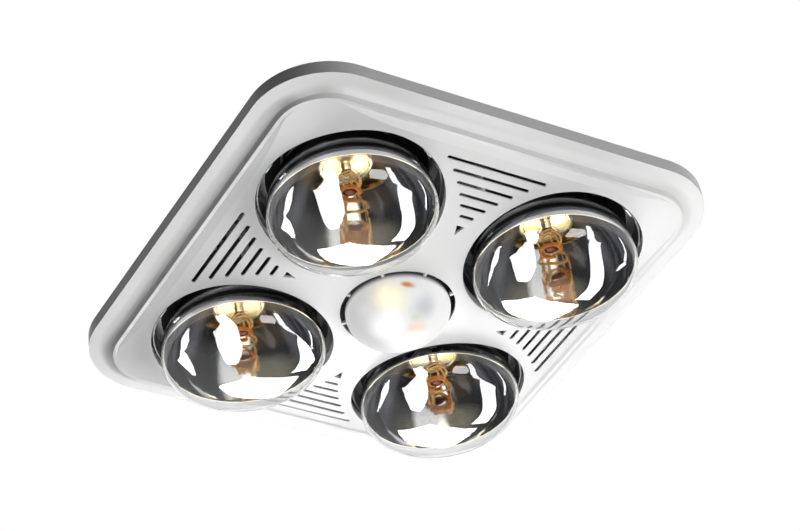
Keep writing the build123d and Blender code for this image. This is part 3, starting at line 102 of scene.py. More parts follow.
def grid_mesh(name, grids, round_ring=True):
    """One smooth mesh over grids of points, rows along a path and columns round a ring."""
    starts = np.cumsum([0] + [grid.shape[0] * grid.shape[1] for grid in grids])
    points = np.concatenate([grid.reshape(-1, 3) for grid in grids])
    quads = [grid_quads(*grid.shape[:2], round_ring) + start for grid, start in zip(grids, starts)]
    quads = np.concatenate(quads)
    mesh = bpy.data.meshes.new(name)
    mesh.from_pydata(points.tolist(), [], quads.tolist())
    mesh.polygons.foreach_set("use_smooth", np.ones(len(quads), dtype=bool))
    return mesh


print("a grid of 3 rows and 8 columns has", len(grid_quads(3, 8, True)), "quads when its ring is round")

# %% [markdown]
# ## From mesh to object
# A pole is a ring whose points all lie in one place. It could be left like that, but then the surface
# has tiny gaps that a printer or a solver trips over, so doubled points are merged first. Each object
# stays at the origin, with its place in its mesh, as the CAD parts have.

# %% A mesh becomes an object
merge_reach = 0.001 * MM


def place_mesh(name, mesh):
    """The mesh, its doubled points at poles merged, as an object at the origin of the scene."""
    form = bmesh.new()
    form.from_mesh(mesh)
    bmesh.ops.remove_doubles(form, verts=form.verts, dist=merge_reach)
    form.to_mesh(mesh)
    form.free()
    piece = bpy.data.objects.new(name, mesh)
    scene.collection.objects.link(piece)
    return piece


print("points closer than", merge_reach, "m are merged")

# %% [markdown]
# ## Light
# The heater is lit as in a studio: large soft boxes to the front, the back and the right, and none to
# its left, so the left skirt stays dark. One lamp or a plain world would light it too, but flatly. The
# boxes shade the facia and the parts only, and are kept out of every reflection.

# %% Soft boxes
box_distance = 2.6


def unit(direction):
    """The direction as an array of length one."""
    direction = np.array(direction, dtype=float)
    return direction / np.linalg.norm(direction)


def soft_box(name, towards, side_length, strength):
    """A square area lamp that faces the heater from the direction towards, its width upright.

    Its power is four times its brightness times its area, so that strength 1 reads as white.
    """
    away = unit(towards)
    side = np.array([0.0, 0.0, 1.0])
    side = unit(side - away * (side @ away))
    light = bpy.data.lights.new(name, "AREA")
    light.shape = "RECTANGLE"
    light.size = light.size_y = side_length
    light.energy = 4.0 * strength * side_length ** 2
    lamp = bpy.data.objects.new(name, light)
    facing = np.eye(4)
    facing[:3, 0], facing[:3, 1], facing[:3, 2] = side, np.cross(away, side), away
    facing[:3, 3] = away * box_distance
    lamp.matrix_world = Matrix(facing.tolist())
    lamp.visible_camera = lamp.visible_glossy = lamp.visible_transmission = False
    scene.collection.objects.link(lamp)
    return lamp


shading_boxes = [
    soft_box("box_front", (0.42, -0.58, -0.70), 1.3, 6.2),
    soft_box("box_back", (0.30, 0.66, -0.69), 1.3, 4.3),
    soft_box("box_right", (0.85, 0.0, -0.53), 1.4, 0.3),
]
print(len(shading_boxes), "soft boxes", box_distance, "m away")

# %% [markdown]
# ## Strips for the reflections
# Long bright strips run down the bulbs in the photo: the reflections of tall windows or light boxes.
# Straight lamps would give short straight marks on such round glass. Ribbons on a sphere round the
# heater can follow any line, so each is laid along the directions in which the glass looks for it.
# Only reflections see them, so they shade nothing.

# %% The line and the rows of a strip
strip_distance = 2.9
strip_steps = 72
strip_rows = 5
strip_softening = 0.30


def strip_points(stops, widths):
    """A ribbon of five rows along directions from the heater, on a sphere round it.

    The directions are joined by a smooth curve, and each row lies a share of the width to one
    side, square to the curve and to the direction.
    """
    stops = np.asarray(stops, dtype=float)
    stops /= np.linalg.norm(stops, axis=1, keepdims=True)
    knots = np.arange(len(stops))
    fine = np.linspace(0, len(stops) - 1, strip_steps)
    middle = np.stack([np.interp(fine, knots, stops[:, axis]) for axis in range(3)], -1)
    weights = np.exp(-0.5 * ((fine[:, None] - fine[None, :]) / strip_softening) ** 2)
    middle = (weights / weights.sum(1, keepdims=True)) @ middle
    middle /= np.linalg.norm(middle, axis=1, keepdims=True)
    across = np.cross(np.gradient(middle, axis=0), middle)
    across /= np.linalg.norm(across, axis=1, keepdims=True)
    width = np.interp(fine, knots, widths)[:, None, None]
    spread = np.linspace(-0.5, 0.5, strip_rows)[None, :, None]
    rows = middle[:, None] + across[:, None] * width * spread
    return strip_distance * rows / np.linalg.norm(rows, axis=-1, keepdims=True)


print("a strip of two stops has", strip_points([(1, 0, 0), (0, 0, -1)], [0.1, 0.1]).shape[:2], "points")

# %% [markdown]
# ## The strips in place
# Each strip has its own stops, its widths at them and its brightness. One brightness for all would make
# the pale panel as loud as the windows. A stop that moves takes the bright shape with it on all four
# bulbs at once, so the stops are few.

# %% Build the strips
def bare_material(name):
    """A new material without a shader, and its node tree."""
    material = bpy.data.materials.new(name)
    material.use_nodes = True
    tree = material.node_tree
    tree.nodes.remove(tree.nodes["Principled BSDF"])
    return material, tree


def glow_paint(name, strength):
    """A plain white glow of a given strength."""
    paint, tree = bare_material(name)
    glow = tree.nodes.new("ShaderNodeEmission")
    glow.inputs["Strength"].default_value = strength
    tree.links.new(glow.outputs[0], tree.nodes["Material Output"].inputs["Surface"])
    return paint


strips = {
    "strip_middle": (
        [(-0.95, -0.60, -0.30), (-0.74, -0.44, -0.53), (-0.40, -0.21, -0.90), (-0.09, 0.22, -0.98),
         (0.11, 0.45, -0.89), (0.22, 0.63, -0.74)],
        (0.24, 0.22, 0.21, 0.23, 0.20, 0.06), 26.0),
    "strip_left": (
        [(-0.98, 0.16, -0.15), (-0.93, 0.30, -0.30), (-0.70, 0.45, -0.55), (-0.45, 0.55, -0.70),
         (-0.14, 0.71, -0.69), (0.10, 0.84, -0.53)],
        (0.03, 0.16, 0.22, 0.20, 0.11, 0.02), 26.0),
    "strip_right": (
        [(0.20, -0.95, -0.20), (0.34, -0.66, -0.66), (0.42, -0.31, -0.86), (0.48, -0.03, -0.88),
         (0.63, 0.22, -0.74), (0.71, 0.44, -0.55), (0.66, 0.60, -0.45)],
        (0.10, 0.12, 0.11, 0.10, 0.10, 0.11, 0.12), 26.0),
    "strip_edge": (
        [(0.82, -0.58, -0.10), (0.90, -0.38, -0.22), (0.92, -0.14, -0.38), (0.84, 0.10, -0.54),
         (0.76, 0.32, -0.57)],
        (0.03, 0.06, 0.07, 0.06, 0.03), 22.0),
    "strip_low": (
        [(0.26, 0.74, -0.62), (0.47, 0.78, -0.45), (0.70, 0.70, -0.28)],
        (0.24, 0.36, 0.30), 24.0),
    "panel_pale": (
        [(0.08, -0.84, -0.54), (0.17, -0.50, -0.85), (0.27, -0.04, -0.97)],
        (0.26, 0.30, 0.16), 13.0),
}
for name, (stops, widths, strength) in strips.items():
    strip = place_mesh(name, grid_mesh(name, [strip_points(stops, widths)], round_ring=False))
    strip.data.materials.append(glow_paint(name, strength))
    strip.visible_camera = strip.visible_diffuse = False
    strip.visible_transmission = strip.visible_shadow = False
print(len(strips), "strips of", strip_rows, "rows for the reflections")

# %% [markdown]
# ## The world
# The background is white, yet a world as bright as it looks would flood the facia with flat light and
# wash its form out. So only rays from the camera, from a gloss or through glass find the world white.
# Every other ray finds it nearly dark.

# %% A quiet world that looks white
dim_level = 0.05
white = (1.0, 1.0, 1.0, 1.0)


def add_clamped_sum(tree, first, second):
    """The sum of two sockets, held between 0 and 1."""
    total = tree.nodes.new("ShaderNodeMath")
    total.operation = "ADD"
    total.use_clamp = True
    tree.links.new(first, total.inputs[0])
    tree.links.new(second, total.inputs[1])
    return total.outputs[0]


def ray_is_seen(tree):
    """A socket that is 1 for rays from the camera, from glossy surfaces and through glass."""
    rays = tree.nodes.new("ShaderNodeLightPath").outputs
    seen = add_clamped_sum(tree, rays["Is Camera Ray"], rays["Is Glossy Ray"])
    return add_clamped_sum(tree, seen, rays["Is Transmission Ray"])


world = bpy.data.worlds.new("quiet_white")
world.use_nodes = True
scene.world = world
tree = world.node_tree
background = tree.nodes["Background"]
background.inputs["Color"].default_value = white
world_level = tree.nodes.new("ShaderNodeMapRange")
world_level.inputs["To Min"].default_value = dim_level
world_level.inputs["To Max"].default_value = 1.0
tree.links.new(ray_is_seen(tree), world_level.inputs["Value"])
tree.links.new(world_level.outputs["Result"], background.inputs["Strength"])
print("the world looks white and lights with", dim_level)

# %% [markdown]
# ## The ceiling
# Seen from below, the housing is hidden by the ceiling it hangs in. A solid ceiling would also hide it
# from above and throw light back. This one is a sheet with a square hole that shows, plain white, from
# below only. From above, only a gloss finds it, as a grey, so that the housing's walls stay dark.

# %% The ceiling, which shows from below only
ceiling_reach = 0.9
ceiling_hole = 0.1505
ceiling_height = 0.0004
ceiling_grey = 0.30


def ceiling_points():
    """Two square rings of points at the ceiling's height: the hole's edge and the outer edge."""
    corners = np.array([(-1, -1), (-1, 1), (1, 1), (1, -1)], dtype=float)
    rings = np.stack([corners * ceiling_hole, corners * ceiling_reach])
    return np.concatenate([rings, np.full(rings.shape[:2] + (1,), ceiling_height)], -1)


ceiling = place_mesh("ceiling", grid_mesh("ceiling", [ceiling_points()]))
ceiling_paint, tree = bare_material("ceiling_white")
glow = tree.nodes.new("ShaderNodeEmission")
clear = tree.nodes.new("ShaderNodeBsdfTransparent")
rays = tree.nodes.new("ShaderNodeLightPath")
from_below = tree.nodes.new("ShaderNodeNewGeometry").outputs["Backfacing"]
shown = tree.nodes.new("ShaderNodeMix")
level = tree.nodes.new("ShaderNodeMapRange")
level.inputs["To Min"].default_value = ceiling_grey
mix = tree.nodes.new("ShaderNodeMixShader")
tree.links.new(from_below, shown.inputs["Factor"])
tree.links.new(rays.outputs["Is Glossy Ray"], shown.inputs[2])
tree.links.new(ray_is_seen(tree), shown.inputs[3])
tree.links.new(from_below, level.inputs["Value"])
tree.links.new(level.outputs["Result"], glow.inputs["Strength"])
tree.links.new(shown.outputs[0], mix.inputs[0])
tree.links.new(clear.outputs[0], mix.inputs[1])
tree.links.new(glow.outputs[0], mix.inputs[2])
tree.links.new(mix.outputs[0], tree.nodes["Material Output"].inputs["Surface"])
ceiling.data.materials.append(ceiling_paint)
ceiling.visible_shadow = False
print("the ceiling's hole is", 2 * ceiling_hole, "m wide")

# %% [markdown]
# ## The floor
# A room has a floor that throws some light back up. It could be left to the white world, but then
# nothing would lie below the heater when it is seen from above. A pale sheet far below does for both.

# %% The floor
floor_reach = 14.0
floor_height = -4.6
floor_lines = 15
floor_white_share = 0.85

floor_side = np.linspace(-floor_reach, floor_reach, floor_lines)
floor_x, floor_y = np.meshgrid(floor_side, floor_side, indexing="ij")
floor_points = np.stack([floor_y, floor_x, np.full(floor_x.shape, floor_height)], -1)
floor = place_mesh("floor", grid_mesh("floor", [floor_points], round_ring=False))
floor_paint = bpy.data.materials.new("pale_floor")
floor_paint.use_nodes = True
tree = floor_paint.node_tree
floor_shader = tree.nodes["Principled BSDF"]
floor_shader.inputs["Base Color"].default_value = (0.86, 0.86, 0.85, 1.0)
floor_shader.inputs["Roughness"].default_value = 0.9
floor_glow = tree.nodes.new("ShaderNodeEmission")
floor_mix = tree.nodes.new("ShaderNodeMixShader")
floor_share = tree.nodes.new("ShaderNodeMath")
floor_share.operation = "MULTIPLY"
floor_share.inputs[1].default_value = floor_white_share
tree.links.new(ray_is_seen(tree), floor_share.inputs[0])
tree.links.new(floor_share.outputs[0], floor_mix.inputs[0])
tree.links.new(floor_shader.outputs[0], floor_mix.inputs[1])
tree.links.new(floor_glow.outputs[0], floor_mix.inputs[2])
tree.links.new(floor_mix.outputs[0], tree.nodes["Material Output"].inputs["Surface"])
floor.data.materials.append(floor_paint)
print("the floor lies", -floor_height, "m below")

# %% [markdown]
# ## A kit for node trees
# The cards, the shared effects and the finishes all use noise, ranges and mixes. Each node could be
# set up where it is used, but short helpers that take a number or a socket keep the trees readable.

# %% Helpers that add nodes
def set_or_link(tree, socket, value):
    """Link the value when it is a socket, or else set it."""
    if isinstance(value, bpy.types.NodeSocket):
        tree.links.new(value, socket)
    else:
        socket.default_value = value


def add_vector_math(tree, operation, first, second=None):
    """A node that works on one or two vectors."""
    node = tree.nodes.new("ShaderNodeVectorMath")
    node.operation = operation
    tree.links.new(first, node.inputs[0])
    if second is not None:
        set_or_link(tree, node.inputs[1], second)
    return node


def add_noise(tree, vector, scale, detail, roughness=0.55):
    """A noise texture over a vector."""
    noise = tree.nodes.new("ShaderNodeTexNoise")
    noise.inputs["Detail"].default_value = detail
    noise.inputs["Roughness"].default_value = roughness
    tree.links.new(vector, noise.inputs["Vector"])
    set_or_link(tree, noise.inputs["Scale"], scale)
    return noise.outputs["Fac"]


def add_range(tree, value, low, high, to_low=0.0, to_high=1.0):
    """A value carried smoothly from one range to another."""
    node = tree.nodes.new("ShaderNodeMapRange")
    node.interpolation_type = "SMOOTHSTEP"
    tree.links.new(value, node.inputs["Value"])
    for label, end in (("From Min", low), ("From Max", high), ("To Min", to_low), ("To Max", to_high)):
        set_or_link(tree, node.inputs[label], end)
    return node.outputs["Result"]


def add_mix(tree, share, first, second):
    """Two colours mixed by a share."""
    node = tree.nodes.new("ShaderNodeMix")
    node.data_type = "RGBA"
    tree.links.new(share, node.inputs["Factor"])
    set_or_link(tree, node.inputs[6], first)
    set_or_link(tree, node.inputs[7], second)
    return node.outputs[2]


def add_object_height(tree):
    """A socket with the height of the surface in the part's own coordinates."""
    height = tree.nodes.new("ShaderNodeSeparateXYZ")
    tree.links.new(tree.nodes.new("ShaderNodeTexCoord").outputs["Object"], height.inputs[0])
    return height.outputs["Z"]


print("helpers for noise, ranges, mixes and vectors are ready")

# %% [markdown]
# ## Dark cards
# A photographer stands black cards round shiny things, to give their mirrors something dark between the
# bright strips. A single dark tone would leave the bulbs flat. Here a bowl of cards lies below the
# heater. Plain reflections find it nearly black. Rays that have passed the glass find round zones of
# tone on it, and so the mirrors behind the glass get their pale, golden and dark patches.

# %% Dark cards round the lamps
bowl_radius = 3.4
bowl_rings = 24
bowl_steps = 64
plain_tone = (0.018, 0.018, 0.019, 1.0)
card_zones = [
    # direction, reach where its fading starts, reach where it ends, tone
    ((0.0, 0.0, -1.0), 1.16, 1.30, (0.035, 0.035, 0.037)),
    ((0.0, 1.0, -0.25), 0.60, 0.92, (1.0, 1.0, 0.98)),
    ((-0.30, -0.60, -0.74), 0.10, 0.45, (0.14, 0.14, 0.15)),
    ((0.10, -0.20, -0.97), 0.08, 0.22, (1.0, 0.93, 0.70)),
    ((-0.14, 0.02, -0.99), 0.05, 0.14, (0.75, 0.75, 0.74)),
    ((0.44, 0.63, -0.64), 0.14, 0.34, (2.8, 2.55, 1.9)),
    ((0.34, 0.22, -0.91), 0.08, 0.24, (0.62, 0.33, 0.07)),
    ((-0.55, 0.10, -0.83), 0.10, 0.40, (0.02, 0.02, 0.02)),
]


def bowl_points():
    """A half sphere below the origin: the angle from straight down runs nearly to the horizon."""
    down = np.linspace(0.001, np.pi / 2 - 0.02, bowl_rings)[:, None]
    around = np.linspace(0, 2 * np.pi, bowl_steps, endpoint=False)[None, :]
    return about_axis((0.0, 0.0), bowl_radius * np.sin(down), around, -bowl_radius * np.cos(down))


cards = place_mesh("dark_cards", grid_mesh("dark_cards", [bowl_points()]))
card_paint, tree = bare_material("dark_card")
card_place = tree.nodes.new("ShaderNodeTexCoord").outputs["Object"]
card_way = add_vector_math(tree, "NORMALIZE", card_place).outputs[0]
card_tone = (0.50, 0.50, 0.50, 1.0)
for centre, inner, outer, tone in card_zones:
    gap = add_vector_math(tree, "DISTANCE", card_way, centre).outputs["Value"]
    card_tone = add_mix(tree, add_range(tree, gap, inner, outer, 1.0, 0.0), card_tone, (*tone, 1.0))
card_rays = tree.nodes.new("ShaderNodeLightPath")
card_glow = tree.nodes.new("ShaderNodeEmission")
card_tone = add_mix(tree, card_rays.outputs["Is Transmission Ray"], plain_tone, card_tone)
tree.links.new(card_tone, card_glow.inputs["Color"])
tree.links.new(card_glow.outputs[0], tree.nodes["Material Output"].inputs["Surface"])
cards.data.materials.append(card_paint)
cards.visible_camera = cards.visible_diffuse = cards.visible_shadow = False
print("a bowl of dark cards with", len(card_zones), "zones of tone")

# %% [markdown]
# ## Effects that several finishes share
# Moulded plastic, rolled sheet and glass all vary in the same few ways: slow patches of tone, a fine
# grain, and a gloss that wanders a little. Each could be drawn again in every material. Node groups
# keep them in one place, and each material sets its own numbers. The first is a moulded skin.

# %% Moulded skin: patches of tone and a fine grain
def new_group(name, inputs, outputs):
    """A shader node group with named sockets.

    Each input is a label, a kind and a value, and each output a label and a kind.
    """
    kinds = {"value": "NodeSocketFloat", "colour": "NodeSocketColor", "vector": "NodeSocketVector"}
    group = bpy.data.node_groups.new(name, "ShaderNodeTree")
    for label, kind, value in inputs:
        socket = group.interface.new_socket(label, in_out="INPUT", socket_type=kinds[kind])
        socket.default_value = value
    for label, kind in outputs:
        group.interface.new_socket(label, in_out="OUTPUT", socket_type=kinds[kind])
    given = group.nodes.new("NodeGroupInput").outputs
    result = group.nodes.new("NodeGroupOutput").inputs
    spot = group.nodes.new("ShaderNodeTexCoord").outputs["Object"]
    return group, given, result, spot


skin_outputs = [("Colour", "colour"), ("Roughness", "value"), ("Height", "value")]
moulded, given, result, spot = new_group(
    "moulded_skin",
    [("Colour", "colour", (0.8, 0.8, 0.8, 1)), ("Shade", "colour", (0.7, 0.7, 0.7, 1)),
     ("Patch Scale", "value", 20.0), ("Grain Scale", "value", 900.0),
     ("Smooth", "value", 0.3), ("Rough", "value", 0.45)],
    skin_outputs)
speckle_scale = 160.0
patches = add_noise(moulded, spot, given["Patch Scale"], 4.0)
grain = add_noise(moulded, spot, given["Grain Scale"], 2.0)
speckle = add_noise(moulded, spot, speckle_scale, 5.0, 0.7)
share = add_range(moulded, patches, 0.35, 0.68)
skin_tone = add_mix(moulded, share, given["Colour"], given["Shade"])
skin_gloss = add_range(moulded, speckle, 0.35, 0.7, given["Smooth"], given["Rough"])
moulded.links.new(skin_tone, result["Colour"])
moulded.links.new(skin_gloss, result["Roughness"])
moulded.links.new(grain, result["Height"])
print(moulded.name, "has", len(moulded.nodes), "nodes")

# %% [markdown]
# ## Rolled sheet
# Galvanised sheet shows crystals of zinc, the fine lines of the mill and the marks of handling. A photo
# of sheet metal could be laid over each part, but it would need an unwrapped surface and would repeat.
# Cells, stretched noise and broad noise in the part's own coordinates need neither.

# %% Rolled sheet: zinc spangle, mill lines and handling marks
rolled, given, result, spot = new_group(
    "rolled_sheet",
    [("Colour", "colour", (0.6, 0.6, 0.6, 1)), ("Shade", "colour", (0.5, 0.5, 0.5, 1)),
     ("Spangle Scale", "value", 90.0), ("Line Scale", "value", 500.0),
     ("Smooth", "value", 0.3), ("Rough", "value", 0.5)],
    skin_outputs)
mark_scale = 14.0
line_stretch = (1.0, 0.03, 0.03)
cells = rolled.nodes.new("ShaderNodeTexVoronoi")
rolled.links.new(spot, cells.inputs["Vector"])
rolled.links.new(given["Spangle Scale"], cells.inputs["Scale"])
cell_tone = rolled.nodes.new("ShaderNodeSeparateColor")
rolled.links.new(cells.outputs["Color"], cell_tone.inputs[0])
stretched = add_vector_math(rolled, "MULTIPLY", spot, line_stretch).outputs[0]
lines = add_noise(rolled, stretched, given["Line Scale"], 3.0)
marks = add_noise(rolled, spot, mark_scale, 5.0, 0.65)
tone_sum = rolled.nodes.new("ShaderNodeMath")
tone_sum.operation = "MULTIPLY_ADD"
rolled.links.new(cell_tone.outputs[0], tone_sum.inputs[0])
tone_sum.inputs[1].default_value = 0.5
rolled.links.new(marks, tone_sum.inputs[2])
share = add_range(rolled, tone_sum.outputs[0], 0.4, 1.1)
sheet_tone = add_mix(rolled, share, given["Colour"], given["Shade"])
sheet_gloss = add_range(rolled, tone_sum.outputs[0], 0.35, 1.15, given["Smooth"], given["Rough"])
rolled.links.new(sheet_tone, result["Colour"])
rolled.links.new(sheet_gloss, result["Roughness"])
rolled.links.new(lines, result["Height"])
print(rolled.name, "has", len(rolled.nodes), "nodes")

# %% [markdown]
# ## Painted reflection spot
# The pearl lamp shows soft patches where the room shines on it, and here these reflections are painted into
# its colour. They could be painted on an image, but a mask that fades with the distance from a point is
# sharp at any size and easy to move.

# %% Painted reflection spot: a soft ball of tone round a point
# A soft mask round a point, which places one painted reflection on the pearl glass.
painted_reflection_group, given, result, spot = new_group(
    "painted_reflection_mask",
    [("Centre", "vector", (0, 0, 0)), ("Stretch", "vector", (1, 1, 1)),
     ("Inner", "value", 0.002), ("Outer", "value", 0.01)],
    [("Mask", "value")])
offset = add_vector_math(painted_reflection_group, "SUBTRACT", spot, given["Centre"]).outputs[0]
squeezed = add_vector_math(painted_reflection_group, "MULTIPLY", offset, given["Stretch"]).outputs[0]
distance = add_vector_math(painted_reflection_group, "LENGTH", squeezed).outputs["Value"]
mask = add_range(painted_reflection_group, distance, given["Inner"], given["Outer"], 1.0, 0.0)
painted_reflection_group.links.new(mask, result["Mask"])
print(len(bpy.data.node_groups), "shared effects")

# %% [markdown]
# ## Finishes
# Every part gets a finish named after it. The shader itself carries what is the same all over,
# such as metalness and glass, and a shared effect varies the colour, the gloss and the relief.

# %% One way to build a finish
finishes = {}
effect_numbers = (2, 3, 4, 5)
metal = {"Metallic": 1.0}


def make_finish(slot, effect, colour, shade, numbers, relief, sockets=None):
    """A finish for a material slot: the effect feeds colour, roughness and a bump of a given depth.

    The numbers are the effect's two scales and its smoothest and roughest gloss, the relief is in
    millimetres, and the sockets are those of the shader that don't vary.
    """
    material = bpy.data.materials.new(slot + "_finish")
    material.use_nodes = True
    tree = material.node_tree
    shader = tree.nodes["Principled BSDF"]
    for label, value in (sockets or {}).items():
        shader.inputs[label].default_value = value
    varied = tree.nodes.new("ShaderNodeGroup")
    varied.node_tree = effect
    varied.inputs["Colour"].default_value = (*colour, 1.0)
    varied.inputs["Shade"].default_value = (*shade, 1.0)
    for place, value in zip(effect_numbers, numbers):
        varied.inputs[place].default_value = value
    bump = tree.nodes.new("ShaderNodeBump")
    bump.inputs["Strength"].default_value = 1.0
    bump.inputs["Distance"].default_value = relief * MM
    tree.links.new(varied.outputs["Colour"], shader.inputs["Base Color"])
    tree.links.new(varied.outputs["Roughness"], shader.inputs["Roughness"])
    tree.links.new(varied.outputs["Height"], bump.inputs["Height"])
    tree.links.new(bump.outputs["Normal"], shader.inputs["Normal"])
    finishes[slot] = material
    return tree, shader, varied.outputs["Colour"]


print("each finish varies its colour, its gloss and its relief")

# %% [markdown]
# ## Plastic, rubber and porcelain
# The facia, the scroll, the box and the sleeves are moulded. Each differs from the next in tone, grain
# and gloss, so each has a row of its own in a table, which is easier to weigh up than many calls.

# %% Plastic, rubber and porcelain
soft_gloss = {"Specular IOR Level": 0.12}
glazed = {"Coat Weight": 0.5}
moulded_rows = [
    # slot, colour, shade, (patch scale, grain scale, smoothest, roughest), relief in mm, sockets
    ("facia_white", (0.80, 0.80, 0.797), (0.785, 0.785, 0.782), (9.0, 700.0, 0.30, 0.36), 0.005, soft_gloss),
    ("rubber_black", (0.020, 0.020, 0.020), (0.030, 0.030, 0.028), (40.0, 1500.0, 0.55, 0.8), 0.03),
    ("porcelain", (0.86, 0.84, 0.78), (0.80, 0.78, 0.72), (30.0, 500.0, 0.12, 0.22), 0.01, glazed),
    ("scroll_plastic", (0.020, 0.020, 0.022), (0.032, 0.032, 0.034), (18.0, 1600.0, 0.42, 0.62), 0.05),
    ("impeller_plastic", (0.010, 0.010, 0.011), (0.018, 0.018, 0.019), (25.0, 1400.0, 0.35, 0.55), 0.03),
    ("spigot_plastic", (0.68, 0.68, 0.66), (0.62, 0.62, 0.60), (16.0, 1500.0, 0.38, 0.55), 0.04),
    ("flap_plastic", (0.045, 0.047, 0.050), (0.060, 0.062, 0.066), (30.0, 1500.0, 0.38, 0.55), 0.03),
    ("box_plastic", (0.085, 0.090, 0.100), (0.105, 0.110, 0.120), (22.0, 1700.0, 0.45, 0.65), 0.06),
    ("cover_plastic", (0.070, 0.074, 0.082), (0.085, 0.090, 0.098), (22.0, 1700.0, 0.42, 0.62), 0.06),
    ("block_plastic", (0.78, 0.74, 0.64), (0.70, 0.66, 0.56), (60.0, 1500.0, 0.30, 0.45), 0.02),
    ("gland_plastic", (0.016, 0.016, 0.017), (0.026, 0.026, 0.027), (60.0, 1700.0, 0.38, 0.55), 0.04),
    ("capacitor_plastic", (0.72, 0.72, 0.69), (0.66, 0.66, 0.63), (35.0, 1300.0, 0.28, 0.42), 0.03),
    ("cutout_plastic", (0.014, 0.014, 0.015), (0.024, 0.024, 0.026), (70.0, 1500.0, 0.25, 0.4), 0.02),
    ("clip_plastic", (0.74, 0.74, 0.71), (0.68, 0.68, 0.65), (60.0, 1500.0, 0.4, 0.55), 0.03),
    ("loom_sleeve", (0.66, 0.63, 0.55), (0.56, 0.53, 0.46), (50.0, 1200.0, 0.6, 0.8), 0.12),
    ("lead_sleeve", (0.018, 0.018, 0.020), (0.028, 0.028, 0.030), (50.0, 1500.0, 0.4, 0.6), 0.05),
]
for slot, *row in moulded_rows:
    make_finish(slot, moulded, *row)
print(len(moulded_rows), "moulded finishes")

# %% [markdown]
# ## Sheet metal, castings and wire
# The housing, the brackets and the fasteners are bare metal, and the heat shield and the motor are
# painted over metal. One plain grey metal for all would look like a toy, so each has its own row too.

# %% Sheet metal, castings and wire
rolled_rows = [
    # slot, colour, shade, (spangle scale, line scale, smoothest, roughest), relief in mm, sockets
    ("galvanised", (0.56, 0.58, 0.60), (0.40, 0.42, 0.44), (85.0, 260.0, 0.28, 0.5), 0.03, metal),
    ("shield_black", (0.012, 0.012, 0.013), (0.022, 0.022, 0.024), (70.0, 300.0, 0.34, 0.5), 0.02),
    ("spring_steel", (0.42, 0.43, 0.45), (0.30, 0.31, 0.33), (160.0, 700.0, 0.22, 0.4), 0.01, metal),
    ("bracket_steel", (0.60, 0.61, 0.62), (0.46, 0.47, 0.49), (110.0, 420.0, 0.26, 0.45), 0.02, metal),
    ("motor_paint", (0.022, 0.024, 0.027), (0.034, 0.036, 0.040), (60.0, 500.0, 0.36, 0.55), 0.03),
    ("end_cap_metal", (0.62, 0.63, 0.64), (0.50, 0.51, 0.53), (130.0, 600.0, 0.3, 0.5), 0.03, metal),
    ("core_steel", (0.34, 0.34, 0.36), (0.24, 0.24, 0.26), (200.0, 1400.0, 0.35, 0.6), 0.04, metal),
    ("copper_wire", (0.72, 0.32, 0.14), (0.50, 0.20, 0.08), (220.0, 2200.0, 0.2, 0.4), 0.08, metal),
    ("rotor_metal", (0.52, 0.53, 0.55), (0.40, 0.41, 0.43), (200.0, 1200.0, 0.3, 0.5), 0.03, metal),
    ("shaft_steel", (0.64, 0.65, 0.67), (0.52, 0.53, 0.55), (240.0, 900.0, 0.12, 0.26), 0.006, metal),
    ("bearing_bronze", (0.60, 0.40, 0.19), (0.45, 0.29, 0.13), (240.0, 1200.0, 0.3, 0.5), 0.03, metal),
    ("screw_steel", (0.68, 0.69, 0.70), (0.52, 0.53, 0.55), (300.0, 900.0, 0.2, 0.38), 0.01, metal),
    ("rivet_aluminium", (0.72, 0.73, 0.74), (0.60, 0.61, 0.62), (300.0, 900.0, 0.26, 0.42), 0.01, metal),
    ("cap_brass", (0.78, 0.60, 0.30), (0.62, 0.45, 0.20), (150.0, 700.0, 0.2, 0.42), 0.02, metal),
]
for slot, *row in rolled_rows:
    make_finish(slot, rolled, *row)
print(len(rolled_rows), "rolled finishes")

# %% [markdown]
# ## Clear glass and its mirror
# The bulbs are pressed glass: clear, a little wavy, and mirrored inside on their backs with a vapour of
# aluminium, which turns golden towards the neck. Paint could only imitate the pale ring round each
# front. Real refraction through the closed glass shell gives it.

# %% Clear glass and the mirror behind it
golden_from, golden_full = 0.004, 0.030
golden_tone = (0.93, 0.66, 0.26, 1.0)
make_finish(
    "lamp_glass", moulded, (0.97, 0.975, 0.98), (0.95, 0.955, 0.96), (25.0, 60.0, 0.0, 0.012), 0.05,
    {"Transmission Weight": 1.0, "IOR": 1.47})
tree, shader, mirror_tone = make_finish(
    "lamp_mirror", moulded, (0.90, 0.90, 0.91), (0.86, 0.86, 0.87), (40.0, 45.0, 0.03, 0.06), 0.10, metal)
near_neck = add_range(tree, add_object_height(tree), golden_from, golden_full)
tree.links.new(add_mix(tree, near_neck, mirror_tone, golden_tone), shader.inputs["Base Color"])
print("the mirror turns golden from", golden_from, "to", golden_full, "m above the ceiling's plane")

# %% [markdown]
# ## Pearl glass
# The middle lamp is white inside and shows soft warm and grey patches, painted reflections of the room on
# its satin glass. Light through frosted glass is slow to render, so the tone is worked out instead: painted
# reflections over a white that glows a little as painted light, and painted shade above the rim, where the
# bulb goes up into its well.

